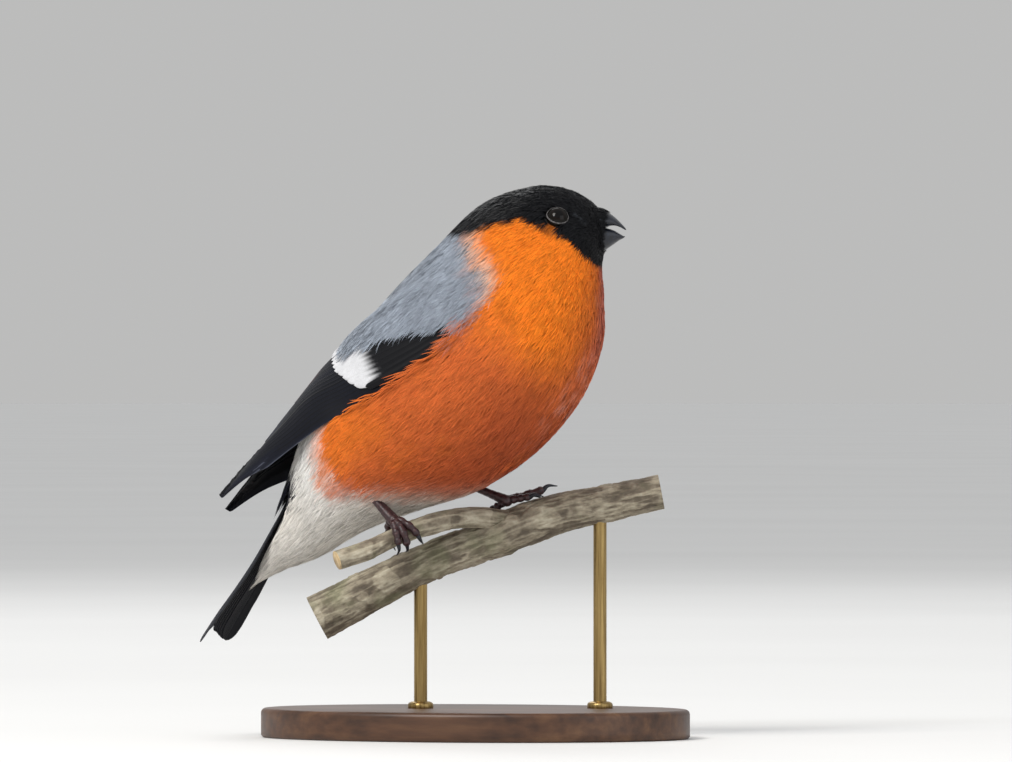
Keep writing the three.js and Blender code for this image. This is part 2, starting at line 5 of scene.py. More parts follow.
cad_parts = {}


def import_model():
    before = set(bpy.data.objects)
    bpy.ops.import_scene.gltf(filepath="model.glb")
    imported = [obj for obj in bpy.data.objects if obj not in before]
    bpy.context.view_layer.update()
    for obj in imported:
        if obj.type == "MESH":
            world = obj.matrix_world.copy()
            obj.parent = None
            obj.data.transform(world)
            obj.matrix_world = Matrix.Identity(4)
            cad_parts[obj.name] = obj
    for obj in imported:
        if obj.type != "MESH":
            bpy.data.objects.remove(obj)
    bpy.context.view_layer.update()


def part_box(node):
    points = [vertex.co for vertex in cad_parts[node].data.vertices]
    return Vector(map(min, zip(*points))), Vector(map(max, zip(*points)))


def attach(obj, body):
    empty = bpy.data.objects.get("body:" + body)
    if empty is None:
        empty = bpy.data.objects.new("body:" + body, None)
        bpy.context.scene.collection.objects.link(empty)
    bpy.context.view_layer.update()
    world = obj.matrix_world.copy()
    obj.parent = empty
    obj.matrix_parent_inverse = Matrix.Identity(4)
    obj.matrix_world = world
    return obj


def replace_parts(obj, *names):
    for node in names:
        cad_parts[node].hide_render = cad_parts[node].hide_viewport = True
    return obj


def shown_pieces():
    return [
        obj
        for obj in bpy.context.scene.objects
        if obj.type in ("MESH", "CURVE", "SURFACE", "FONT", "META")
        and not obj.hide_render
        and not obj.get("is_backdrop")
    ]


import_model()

lo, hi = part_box("stand_base")
# model millimetres (bird's own axes) to the frame: the base's middle is at x 5, y 4
OFF = np.array([(lo[0] + hi[0]) * 500 - 5.0, (lo[1] + hi[1]) * 500 - 4.0, 0.0])
def world(P):
    return (np.asarray(P, float) + OFF) * 0.001

rad = math.radians
def smooth(a, b, x):
    t = np.clip((np.asarray(x, float) - a) / (b - a), 0, 1)
    return t * t * (3 - 2 * t)
def lin(r, g, b):
    return np.array([(v / 255.0) ** 2.2 for v in (r, g, b)])

# ------------------------------------------------------------------ body shape
NECK_X = 24.0
BODY = np.array([
    [0, 38.1, 122.0, 94, 4.6, 4.3, 0.00], [1, 36.4, 122.5, 103, 7.2, 6.6, 0.03], [2, 34.2, 122.6, 111, 9.8, 8.7, 0.07],
    [3, 31.8, 121.6, 118, 12.8, 10.6, 0.08], [4, 29.2, 119.4, 124, 16.0, 12.7, 0.12], [6, 23.0, 111.5, 131, 22.4, 17.8, 0.15],
    [8, 14.4, 99.6, 133.5, 25.4, 22.7, 0.11], [10, 2.9, 87.4, 133.4, 25.9, 24.9, 0.05], [12, -9.9, 76.1, 134.3, 23.3, 22.9, 0.00],
    [14, -21.7, 67.2, 135.2, 17.9, 17.2, 0.00], [16, -30.6, 58.7, 132.0, 12.3, 11.8, 0.00], [18, -38.5, 50.5, 118.0, 8.6, 7.9, 0.00],
    [20, -45.4, 44.6, 101.0, 4.6, 4.4, 0.00]])
def spline(rows, key):
    key = np.asarray(key, float); K = rows[:, 0]; n = len(K)
    i = np.clip(np.searchsorted(K, key, side="right") - 1, 0, n - 2)
    sl = np.array([(rows[min(n - 1, j + 1), 1:] - rows[max(0, j - 1), 1:]) / (K[min(n - 1, j + 1)] - K[max(0, j - 1)]) for j in range(n)])
    h = (K[i + 1] - K[i])[..., None]; t = ((key - K[i]) / (K[i + 1] - K[i]))[..., None]
    t2 = t * t; t3 = t2 * t
    return (2 * t3 - 3 * t2 + 1) * rows[i][..., 1:] + (t3 - 2 * t2 + t) * h * sl[i] + (3 * t2 - 2 * t3) * rows[i + 1][..., 1:] + (t3 - t2) * h * sl[i + 1]
def turned(P, k):
    a = rad(12.0) * (1 - smooth(2.5, 8.5, k)); c, s = np.cos(a), np.sin(a)
    x, y = P[..., 0] - NECK_X, P[..., 1]
    return np.stack([NECK_X + x * c - y * s, x * s + y * c, P[..., 2]], -1)
def body(k, t):
    k, t = np.broadcast_arrays(np.asarray(k, float), np.asarray(t, float))
    v = spline(BODY, k); X, Z, ti, D, W, e = [v[..., i] for i in range(6)]; ti = np.radians(ti)
    # past the last station the end closes in a round tip
    close = np.sqrt(np.clip(1 - ((k - 19.4) / 1.3) ** 2, 0.02, 1)); close = np.where(k > 19.4, close, 1)
    # and in front of the first one too
    front = np.sqrt(np.clip(1 - ((0.15 - k) / 0.5) ** 2, 0.02, 1)); close = np.where(k < 0.15, front, close)
    a = D * np.cos(t) * close; b = W * np.sin(t) * (1 - e * np.cos(t)) * close
    return turned(np.stack([X + a * np.cos(ti), b, Z + a * np.sin(ti)], -1), k)

# Dense lookup of the surface: points, outward normals, mm per unit of k and t
GK = np.linspace(-0.35, 20.7, 843); GT = np.linspace(-math.pi, math.pi, 721)
GP = body(GK[:, None], GT[None, :])
_dk = np.gradient(GP, GK, axis=0); _dt = np.gradient(GP, GT, axis=1)
_n = np.cross(_dt, _dk); _n /= np.linalg.norm(_n, axis=-1, keepdims=True) + 1e-12
_c = GP.mean(axis=1, keepdims=True)
_n = np.where(((GP - _c) * _n).sum(-1, keepdims=True).mean(axis=1, keepdims=True) < 0, -_n, _n)
GN = _n; GEK = np.linalg.norm(_dk, axis=-1); GET = np.linalg.norm(_dt, axis=-1)
def look(G, k, t):
    t = (t + math.pi) % (2 * math.pi) - math.pi
    x = np.clip((k - GK[0]) / (GK[1] - GK[0]), 0, len(GK) - 1.001); y = np.clip((t + math.pi) / (GT[1] - GT[0]), 0, len(GT) - 1.001)
    i = x.astype(int); j = y.astype(int); fx = x - i; fy = y - j
    if G.ndim == 3: fx = fx[..., None]; fy = fy[..., None]
    return (G[i, j] * (1 - fx) + G[i + 1, j] * fx) * (1 - fy) + (G[i, j + 1] * (1 - fx) + G[i + 1, j + 1] * fx) * fy


# ------------------------------------------------------------------- curves
def unit(v): return v / (np.linalg.norm(v, axis=-1, keepdims=True) + 1e-12)
class Curve:
    """Centripetal Catmull-Rom curve, run through by arc length."""
    def __init__(self, pts, div=400):
        self.p = np.asarray(pts, float); self.tt = np.linspace(0, 1, div + 1); q = self.raw(self.tt)
        self.cum = np.concatenate([[0], np.cumsum(np.linalg.norm(np.diff(q, axis=0), axis=1))]); self.len = self.cum[-1]
    def raw(self, t):
        p = self.p; n = len(p); x = np.asarray(t, float) * (n - 1); i = np.clip(np.floor(x).astype(int), 0, n - 2); w = (x - i)[..., None]
        e = np.concatenate([[2 * p[0] - p[1]], p, [2 * p[-1] - p[-2]]]); p0, p1, p2, p3 = e[i], e[i + 1], e[i + 2], e[i + 3]
        f = lambda a, b: np.maximum(np.linalg.norm(a - b, axis=-1, keepdims=True), 1e-8) ** 0.5
        d0, d1, d2 = f(p0, p1), f(p1, p2), f(p2, p3)
        a = ((p1 - p0) / d0 - (p2 - p0) / (d0 + d1) + (p2 - p1) / d1) * d1; b = ((p2 - p1) / d1 - (p3 - p1) / (d1 + d2) + (p3 - p2) / d2) * d1
        return p1 + a * w + (-3 * p1 + 3 * p2 - 2 * a - b) * w ** 2 + (2 * p1 - 2 * p2 + a + b) * w ** 3
    def t_of(self, u): return np.interp(np.clip(u, 0, 1) * self.len, self.cum, self.tt)
    def at(self, u): return self.raw(self.t_of(u))
    def tan(self, u):
        a = self.t_of(u); return unit(self.raw(np.clip(a + 1e-4, 0, 1)) - self.raw(np.clip(a - 1e-4, 0, 1)))

class Surf:
    """Lookup of a patch given by points over a regular grid of two parameters."""
    def __init__(self, A, B, P, ref):
        self.A, self.B, self.P = A, B, P
        da, db = np.gradient(P, A, axis=0), np.gradient(P, B, axis=1); n = unit(np.cross(da, db))
        self.N = np.where((n * ref).sum(-1, keepdims=True) < 0, -n, n); self.Ea = np.linalg.norm(da, axis=-1); self.Eb = np.linalg.norm(db, axis=-1)
    def look(self, G, a, b):
        x = np.clip((a - self.A[0]) / (self.A[1] - self.A[0]), 0, len(self.A) - 1.001); y = np.clip((b - self.B[0]) / (self.B[1] - self.B[0]), 0, len(self.B) - 1.001)
        i = x.astype(int); j = y.astype(int); fx = x - i; fy = y - j
        if G.ndim == 3: fx = fx[..., None]; fy = fy[..., None]
        return (G[i, j] * (1 - fx) + G[i + 1, j] * fx) * (1 - fy) + (G[i, j + 1] * (1 - fx) + G[i + 1, j + 1] * fx) * fy
    def __call__(self, a, b):
        a, b = np.broadcast_arrays(np.asarray(a, float), np.asarray(b, float))
        return self.look(self.P, a, b), unit(self.look(self.N, a, b)), self.look(self.Ea, a, b), self.look(self.Eb, a, b)

# -------------------------------------------------------------- closed wing
WING_P = np.array([0, 0.12, 0.31, 0.44, 0.57, 0.70, 0.88, 1])
W_LOW = [[7.8, 84], [9.1, 85], [10.95, 79], [12.2, 71.5], [13.5, 60], [-36.2, 13.6, 70.4], [-49.3, 8.2, 63.6], [-57.6, 4.6, 57.5]]
W_UP = [[7.5, 66], [8.3, 55], [10.2, 35], [11.8, 13], [-33.0, 2.6, 86.0], [-40.3, 2.2, 77.6], [-50.8, 2.6, 64.9], [-57.2, 3.4, 58.0]]
W_FREE = [[-39.3, 9.4, 75.6], [-50.6, 6.1, 64.9], [-57.5, 4.1, 57.9]]
def on_flank(v, out):
    k, t = np.array([v[0]], float), np.array([rad(v[1])])
    return (look(GP, k, t) + look(GN, k, t) * out)[0]
_r = {"low": [], "mid": [], "up": []}
for i, p in enumerate(WING_P):
    a, c = W_LOW[i], W_UP[i]; A = on_flank(a, 1.1) if len(a) == 2 else np.array(a, float); C = on_flank(c, 1.1) if len(c) == 2 else np.array(c, float)
    if len(a) == 2 and len(c) == 2: B = on_flank([(a[0] + c[0]) / 2, (a[1] + c[1]) / 2], 1.3)
    elif len(a) == 2: B = (A + C) / 2 + np.array([-1.6, 3.2, 1.9])
    else: B = np.array(W_FREE[i - 5], float)
    for n_, v in (("low", A), ("mid", B), ("up", C)): _r[n_].append([p, *v])
_r = {n_: np.array(v) for n_, v in _r.items()}
def wing_raw(p, q):
    a, b, c = (spline(_r[n_], p) for n_ in ("low", "mid", "up")); q = np.asarray(q, float)[..., None]; m = 2 * b - (a + c) / 2
    return (1 - q) ** 2 * a + 2 * q * (1 - q) * m + q * q * c
WA = np.linspace(-0.05, 1.03, 325); WB = np.linspace(-0.15, 1.15, 105)
WING = Surf(WA, WB, wing_raw(np.broadcast_to(WA[:, None], (325, 105)), np.broadcast_to(WB[None, :], (325, 105))), np.array([0, 1.0, 0]))
_pv = wing_raw(np.array([0.05]), np.array([0.5]))[0]; _wa = rad(1.75)
def place_wing(P, side):
    if side < 0: return P * np.array([1, -1, 1])
    d = P - np.array([_pv[0], 0, _pv[2]]); x = d[..., 0] * math.cos(_wa) - d[..., 2] * math.sin(_wa); z = d[..., 0] * math.sin(_wa) + d[..., 2] * math.cos(_wa)
    return np.stack([x + _pv[0] - 2.85 * 0.8, d[..., 1] - 0.4, z + _pv[2] - 2.85 * 0.5], -1)

# --------------------------------------------------------------------- tail
TAIL = Curve([[x, 0, z] for x, z in [[-30.6, 74.4], [-34.6, 68.0], [-38.4, 61.5], [-42.0, 55.4], [-45.5, 49.4], [-49.4, 42.7], [-53.6, 36.4], [-58.0, 30.4], [-62.6, 23.7]]], 200)
def tail_half(u): return 4.2 + (10.4 - 4.2) * smooth(0.05, 0.95, u)
def tail_raw(u, v):
    u, v = np.broadcast_arrays(np.asarray(u, float), np.asarray(v, float))
    c = TAIL.at(u); t = TAIL.tan(np.clip(u, 0.001, 0.999)); c = c + t * ((u - np.clip(u, 0, 1)) * 61.0)[..., None]
    n = np.stack([t[..., 2], 0 * u, -t[..., 0]], -1); n = np.where(n[..., :1] < 0, -n, n)
    return c + np.stack([0 * u, v * tail_half(u), 0 * u], -1) + n * (2.0 * v * v * smooth(0.1, 0.6, u))[..., None]
TA = np.linspace(-0.05, 1.05, 221); TB = np.linspace(-1.3, 1.3, 79)
TAILS = Surf(TA, TB, tail_raw(TA[:, None], TB[None, :]), np.array([-1.0, 0, 0.3]))     # normal to the back side
_tu = np.linspace(0, 1, 301); _tp = TAIL.at(_tu)[:, [0, 2]]; _tt = TAIL.tan(np.clip(_tu, .001, .999)); _tn = np.stack([_tt[:, 2], -_tt[:, 0]], 1); _tn *= np.sign(_tn[:, :1])
def tail_side(P):
    """Place along the tail and distance to its belly side."""
    q = P[..., [0, 2]].reshape(-1, 2); i = np.empty(len(q), int)
    for a in range(0, len(q), 40000):
        i[a:a + 40000] = ((q[a:a + 40000, None, :] - _tp[None]) ** 2).sum(-1).argmin(1)
    d = ((q - _tp[i]) * _tn[i]).sum(1); nn = np.stack([_tn[i, 0], 0 * d, _tn[i, 1]], 1)
    return _tu[i].reshape(P.shape[:-1]), d.reshape(P.shape[:-1]), nn.reshape(P.shape)
def tail_clear(P, k0):
    """Feathers of the rump lie over the tail's root, those below it under it."""
    far = k0 > 14.6
    if not far.any(): return P
    Q = P[far]; u, d, n = tail_side(Q); root = d[:, :, :1]; v = Q[..., 1] / tail_half(u)
    drop = 2.0 * np.clip(v, -1, 1) ** 2 * smooth(0.1, 0.6, u); w = smooth(0.16, 0.26, u) * smooth(1.5, 1.1, np.abs(v))
    over = np.minimum(0, (drop - 0.55) - d); under = np.maximum(0, (drop + 1.9) - d)
    Q = Q + n * (np.where(root < 0.6, over, under) * w)[..., None]
    P = P.copy(); P[far] = Q
    return P

# -------------------------------------------------------------- value noise
_rng = np.random.default_rng(11)
_perm = _rng.permutation(512)
_tab = _rng.random(512) * 2 - 1
def vnoise(P, s):
    q = np.asarray(P, float) * s; i = np.floor(q).astype(int); f = q - i; f = f * f * (3 - 2 * f)
    def h(a, b, c):
        return _tab[(_perm[(_perm[(_perm[a % 512] + b) % 512] + c) % 512])]
    r = 0
    for dx in (0, 1):
        for dy in (0, 1):
            for dz in (0, 1):
                w = (f[..., 0] if dx else 1 - f[..., 0]) * (f[..., 1] if dy else 1 - f[..., 1]) * (f[..., 2] if dz else 1 - f[..., 2])
                r = r + w * h(i[..., 0] + dx, i[..., 1] + dy, i[..., 2] + dz)
    return r
def fbm(P, s, n=4, g=0.5):
    r, a = 0, 1.0
    for _ in range(n):
        r = r + a * vnoise(P, s); s *= 2.03; a *= g
    return r

# ------------------------------------------------------------------- markings
# the bright orange stands for the orange in full light (painted light) and also gives random mottle; the deep orange
# and the mauve stand for it in shade (painted shade)
ORANGE_LIT_AND_MOTTLE = lin(252, 134, 36); ORANGE = lin(216, 108, 54); ORANGE_SHADED = lin(180, 84, 50); MAUVE_SHADE = lin(176, 100, 92)
# the pale grey gives a painted highlight on the top of the mantle, and the paler grey at the front of the lesser
# coverts
GREY = lin(152, 160, 172); GREY_PALE_AND_LIT = lin(184, 190, 199); BLACK = lin(11, 12, 17); BLUE_BLACK = lin(10, 14, 28)
WHITE = lin(238, 236, 232); OFF_WHITE = lin(226, 221, 213); BUFF = lin(232, 200, 178)
CAP_K = np.array([-1, 1.3, 1.5, 2.2, 2.8, 3.1, 3.6, 4.1, 4.5, 5.2, 6.2, 6.7, 6.95, 6.96, 25])
CAP_A = np.array([200, 200, 172, 136, 113, 95, 79, 68, 58, 51, 42, 30, 8, -20, -20])
GREY_A = np.array([0, 20, 38, 55, 70, 81, 86, 90]); GREY_K = np.array([6.2, 6.1, 6.2, 6.5, 6.5, 6.7, 7.2, 8.6])
BELLY_A = np.array([0, 60, 73, 88, 106, 122, 133, 144, 161, 180]); BELLY_K = np.array([13.2, 13.7, 14.4, 14.7, 14.6, 14.1, 13.5, 13.0, 12.4, 11.7])
LOW_K = np.array([7.8, 9.1, 10.95, 12.2, 13.5]); LOW_A = np.array([84, 85, 79, 71.5, 60.0])
UP_K = np.array([7.5, 8.3, 10.2, 11.8, 12.6]); UP_A = np.array([66, 55, 35, 13, 4.0])
def mixc(a, b, w):
    w = np.clip(w, 0, 1)[..., None]
    return a * (1 - w) + b * w
def marking(k, t):
    """Colour and gloss of the coat at a place on the body."""
    P = look(GP, k, t)
    a = np.abs(np.degrees((t + math.pi) % (2 * math.pi) - math.pi))
    n1 = fbm(P, 0.35, 3); n2 = fbm(P + 31, 0.11, 2)
    c = np.broadcast_to(ORANGE, k.shape + (3,)).copy()
    # cheek and upper flank painted brighter as painted light, underside of breast and belly painted deeper as painted
    # shade
    # painted light: the cheek and the sides of the head and neck brighter orange, where light falls
    c = mixc(c, ORANGE_LIT_AND_MOTTLE, (1 - smooth(6.2, 8.2, k + 0.4 * n2)) * smooth(178, 120, a) * 0.95)
    # painted shade: breast and belly deeper orange on the underside, away from the light
    c = mixc(c, ORANGE_SHADED, smooth(95, 150, a + 10 * n2) * smooth(6.5, 9.5, k) * 0.85)
    # painted shade: the throat's front tinted mauve, as the orange looks in shade
    c = mixc(c, MAUVE_SHADE, smooth(150, 178, a + 6 * n1) * smooth(8.5, 4.0, k) * 0.75)
    # painted light: the upper flank below the wing brighter orange, where light falls
    c = mixc(c, ORANGE_LIT_AND_MOTTLE, smooth(10.6, 12.6, k) * smooth(112, 82, a) * 0.55)
    st_ = smooth(0.15, 0.65, fbm(np.stack([P[..., 1] * 1.0, P[..., 0] * 0.22 + P[..., 2] * 0.22, P[..., 0] * 0.3], -1), 0.75, 3))
    c = mixc(c, lin(232, 176, 160), st_ * smooth(146, 172, a) * smooth(3.0, 4.0, k) * smooth(10.5, 6.5, k) * 0.45)
    # random brighter orange blotches on the belly, the orange's own mottle
    c = mixc(c, ORANGE_LIT_AND_MOTTLE, smooth(0.1, 0.7, n2) * smooth(9, 10.5, k) * smooth(13.5, 12, k) * 0.25)
    c = mixc(c, WHITE, smooth(60, 46, a) * smooth(10.8, 11.8, k))
    # grey mantle with a pale border
    gk = np.interp(a, GREY_A, GREY_K, right=99)
    low = np.interp(k, LOW_K, LOW_A, left=86, right=58)
    side = smooth(low + 3.0, low - 5.0, a + 3 * n1 + 6 * smooth(8.2, 9.2, k))
    g = smooth(-0.25, 0.55, k - gk + 0.28 * n1) * side * smooth(13.4, 12.7, k + 0.3 * n1) * (1 - smooth(11.6, 12.4, k) * smooth(44, 56, a))
    pale = np.exp(-((k - gk + 0.05) / 0.30) ** 2) * smooth(92, 80, a) * smooth(20, 40, a)
    c = mixc(c, GREY * (1 + 0.10 * n2[..., None]), g)
    c = mixc(c, BUFF, pale * 0.60)
    # painted highlight: the top of the mantle paler grey, where light falls
    c = mixc(c, GREY_PALE_AND_LIT, g * smooth(40, 5, a) * smooth(7.2, 9, k) * 0.55)
    # pale belly, vent and under tail; white rump
    bk = np.interp(a, BELLY_A, BELLY_K)
    b = smooth(-0.7, 0.75, k - bk + 0.35 * n1 + 0.3 * n2)
    c = mixc(c, mixc(np.broadcast_to(OFF_WHITE, c.shape), WHITE, smooth(14.6, 13.6, k) * 0 + smooth(140, 80, a) * smooth(16.8, 14.6, k)), b)
    c = mixc(c, BUFF * 0.8, np.exp(-((k - bk) / 0.8) ** 2) * smooth(110, 150, a) * 0.5)
    # black upper tail coverts
    ut = smooth(15.5, 16.0, k + 0.1 * n1) * smooth(70, 58, a + 5 * n1 - 0.0 * k)
    c = mixc(c, BLUE_BLACK, ut)
    # cap and bib
    ca = np.interp(k, CAP_K, CAP_A)
    m = np.maximum(smooth(3.0, -3.0, a - ca + 2.2 * n1), smooth(1.75, 1.35, k))
    c = mixc(c, BLACK, m)
    # sparse grey flecks on the lores
    fleck = m * smooth(0.62, 0.9, fbm(P + 7, 1.1, 2)) * smooth(3.3, 2.2, k) * smooth(110, 90, a) * smooth(50, 62, a) * 0.16
    c = mixc(c, GREY * 0.55, fleck)
    return c, np.maximum(m, ut)

# ------------------------------------------------------------ mesh and nodes
def new_object(name, V, F, mat, smooth_shade=True, uv=None, colour=None, attrs=None, counts=None):
    """F: (m,3) or (m,4) array, or a flat loop list with counts."""
    me = bpy.data.meshes.new(name)
    V = world(V)
    if counts is None:
        F = np.asarray(F, np.int32); counts = np.full(len(F), F.shape[1], np.int32); F = F.reshape(-1)
    F = np.asarray(F, np.int32); counts = np.asarray(counts, np.int32)
    me.vertices.add(len(V)); me.vertices.foreach_set("co", V.astype(np.float32).ravel())
    me.loops.add(len(F)); me.loops.foreach_set("vertex_index", F)
    me.polygons.add(len(counts)); me.polygons.foreach_set("loop_start", np.concatenate([[0], np.cumsum(counts)[:-1]]).astype(np.int32))
    me.polygons.foreach_set("use_smooth", np.full(len(counts), smooth_shade))
    me.update(calc_edges=True); me.validate()
    if uv is not None:
        for uname, arr in uv.items():
            l = me.uv_layers.new(name=uname)
            l.data.foreach_set("uv", np.asarray(arr, np.float32)[F].ravel())
    if colour is not None:
        at = me.attributes.new("tint", "FLOAT_COLOR", "POINT")
        at.data.foreach_set("color", np.concatenate([colour, np.ones((len(colour), 1))], 1).astype(np.float32).ravel())
    for an, arr in (attrs or {}).items():
        at = me.attributes.new(an, "FLOAT", "POINT"); at.data.foreach_set("value", np.asarray(arr, np.float32))
    ob = bpy.data.objects.new(name, me); bpy.context.scene.collection.objects.link(ob)
    if mat: me.materials.append(mat)
    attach(ob, "root")
    return ob

class Mat:
    def __init__(self, name):
        self.m = bpy.data.materials.new(name); self.m.use_nodes = True; self.t = self.m.node_tree
        self.b = self.t.nodes["Principled BSDF"]
    def n(self, kind, **kw):
        x = self.t.nodes.new(kind)
        for k, v in kw.items():
            if k.startswith("_"): setattr(x, k[1:], v)
            else: x.inputs[k.replace("__", " ")].default_value = v
        return x
    def l(self, a, b): self.t.links.new(a, b); return self
    def set(self, **kw):
        for k, v in kw.items(): self.b.inputs[k.replace("__", " ")].default_value = v
        return self
    def mix(self, fac, a, b, blend="MIX"):
        x = self.t.nodes.new("ShaderNodeMix"); x.data_type = "RGBA"; x.blend_type = blend
        for sock, v in ((x.inputs[0], fac), (x.inputs[6], a), (x.inputs[7], b)):
            if hasattr(v, "is_output"): self.l(v, sock)
            else: sock.default_value = v if not isinstance(v, np.ndarray) else (*v, 1)
        return x.outputs[2]
    def math(self, op, a, b=0.0):
        x = self.t.nodes.new("ShaderNodeMath"); x.operation = op
        for sock, v in ((x.inputs[0], a), (x.inputs[1], b)):
            if hasattr(v, "is_output"): self.l(v, sock)
            else: sock.default_value = v
        return x.outputs[0]
    def ramp(self, fac, stops):
        x = self.t.nodes.new("ShaderNodeValToRGB"); self.l(fac, x.inputs[0])
        e = x.color_ramp.elements
        while len(e) < len(stops): e.new(0.5)
        for i, (p, c) in enumerate(stops): e[i].position = p; e[i].color = (*c, 1) if len(c) == 3 else c
        return x.outputs[0]
    def obj(self, scale=(1, 1, 1), rot=(0, 0, 0)):
        c = self.t.nodes.new("ShaderNodeTexCoord"); mp = self.t.nodes.new("ShaderNodeMapping")
        mp.inputs["Scale"].default_value = scale; mp.inputs["Rotation"].default_value = rot
        self.l(c.outputs["Object"], mp.inputs["Vector"]); return mp.outputs["Vector"]
    def noise(self, vec, scale, detail=3, rough=0.5):
        x = self.n("ShaderNodeTexNoise"); x.inputs["Scale"].default_value = scale; x.inputs["Detail"].default_value = detail; x.inputs["Roughness"].default_value = rough
        self.l(vec, x.inputs["Vector"]); return x.outputs["Fac"]
    def bump(self, h, strength, dist):
        x = self.t.nodes.new("ShaderNodeBump"); x.inputs["Strength"].default_value = strength; x.inputs["Distance"].default_value = dist
        self.l(h, x.inputs["Height"]); self.l(x.outputs[0], self.b.inputs["Normal"]); return x

def plumage_material(name, gloss_rough=0.38, rough=0.78, barbs=False):
    M = Mat(name); at = M.t.nodes.new("ShaderNodeAttribute"); at.attribute_name = "tint"
    gl = M.t.nodes.new("ShaderNodeAttribute"); gl.attribute_name = "gloss"
    v = M.obj(); a = M.noise(v, 330, 3); b = M.noise(v, 2600, 2)
    s = M.math("ADD", M.math("MULTIPLY", a, 0.30), M.math("MULTIPLY", b, 0.36)); s = M.math("ADD", s, 0.67)
    comb = M.t.nodes.new("ShaderNodeCombineColor")
    for i in range(3): M.l(s, comb.inputs[i])
    M.l(M.mix(1.0, at.outputs["Color"], comb.outputs[0], "MULTIPLY"), M.b.inputs["Base Color"])
    r = M.math("MULTIPLY", gl.outputs["Fac"], gloss_rough - rough); M.l(M.math("ADD", r, rough), M.b.inputs["Roughness"])
    M.set(Sheen__Weight=0.03, Sheen__Roughness=0.5, Specular__IOR__Level=0.16)
    if barbs:
        uvn = M.t.nodes.new("ShaderNodeUVMap"); uvn.uv_map = "vane"
        sep = M.t.nodes.new("ShaderNodeSeparateXYZ"); M.l(uvn.outputs[0], sep.inputs[0])
        ab = M.math("ABSOLUTE", sep.outputs[0]); ph = M.math("SUBTRACT", sep.outputs[1], M.math("MULTIPLY", ab, 1.1))
        w = M.math("SINE", M.math("MULTIPLY", ph, 17.0))
        M.bump(M.math("MULTIPLY", w, 0.5), 0.35, 0.0001)
    return M.m
MAT_COAT = plumage_material("coat_soft")
MAT_VANE = plumage_material("vane_gloss", gloss_rough=0.46, rough=0.75, barbs=True)

# --------------------------------------------------------------- coat of barbs
EYES = []
for s in (-1, 1):
    c = turned(np.array([28.2, s * 8.1, 125.5]), 0.0)
    ax = look(GN, np.array([3.42]), np.array([s * rad(69.0)]))[0]
    ax = ax / np.linalg.norm(ax)
    fwd = turned(np.array([NECK_X + 1, 0, 0.0]), 0.0) - turned(np.array([NECK_X, 0, 0.0]), 0.0)
    e1 = fwd - ax * (fwd @ ax); e1 /= np.linalg.norm(e1); e2 = np.cross(ax, e1); e2 *= np.sign(e2[2])
    # seated a little lower and further back on the side of the head, at the same depth
    seat = look(GP, np.array([3.42]), np.array([s * rad(69.0)]))[0]; want = seat - 0.5 * fwd + np.array([0, 0, -1.15])
    kk_, aa_ = [g.ravel() for g in np.meshgrid(np.linspace(2.8, 4.4, 81), np.linspace(58, 90, 81))]; on = look(GP, kk_, s * np.radians(aa_)); dd = on - want
    near_ = np.argmin((dd @ e1) ** 2 + (dd @ e2) ** 2); c = c + on[near_] - seat
    tilt = rad(-8); e1, e2 = e1 * math.cos(tilt) + e2 * math.sin(tilt), -e1 * math.sin(tilt) + e2 * math.cos(tilt)
    EYES.append((s, c, ax, e1, e2))
def near_eye(P, ra, rb):
    m = np.zeros(P.shape[:-1], bool)
    for s, c, ax, e1, e2 in EYES:
        d = P - c
        m |= ((d @ e1 / ra) ** 2 + (d @ e2 / rb) ** 2 < 1) & (d @ ax > 0)
    return m

WING_LIFT = 1.65
def footprint(k, t):
    """1 over the folded wing's front part, 0 off it, soft at the border."""
    a = np.abs(np.degrees((t + math.pi) % (2 * math.pi) - math.pi))
    low = np.interp(k, LOW_K, LOW_A); up = np.interp(k, UP_K, UP_A)
    return smooth(up - 15, up + 2, a) * smooth(low + 5.0, low - 2.0, a) * smooth(6.9, 8.4, k) * smooth(13.4, 12.2, k)

class Coat:
    def __init__(self): self.V = []; self.F = []; self.C = []; self.G = []; self.U = []; self.n = 0; self.t = 0
    def add(self, V, C, G, U, S):
        """V (N, 2S+1, 3) ribbon points: pairs then the tip."""
        N = len(V); b = (np.arange(N) * (2 * S + 1))[:, None] + self.n
        f = []
        for j in range(S - 1):
            f.append(np.stack([b[:, 0] + 2 * j, b[:, 0] + 2 * j + 1, b[:, 0] + 2 * j + 3], 1)); f.append(np.stack([b[:, 0] + 2 * j, b[:, 0] + 2 * j + 3, b[:, 0] + 2 * j + 2], 1))
        j = S - 1; f.append(np.stack([b[:, 0] + 2 * j, b[:, 0] + 2 * j + 1, b[:, 0] + 2 * S], 1))
        F = np.stack(f, 1).reshape(-1, 3)
        self.V.append(V.reshape(-1, 3)); self.C.append(C.reshape(-1, 3)); self.G.append(G.reshape(-1)); self.U.append(U.reshape(-1, 2)); self.F.append(F)
        self.n += N * (2 * S + 1); self.t += len(F)
    def make(self, name):
        return new_object(name, np.concatenate(self.V), np.concatenate(self.F), MAT_COAT, uv={"OFBake": np.concatenate(self.U)},
                          colour=np.concatenate(self.C), attrs={"gloss": np.concatenate(self.G)})

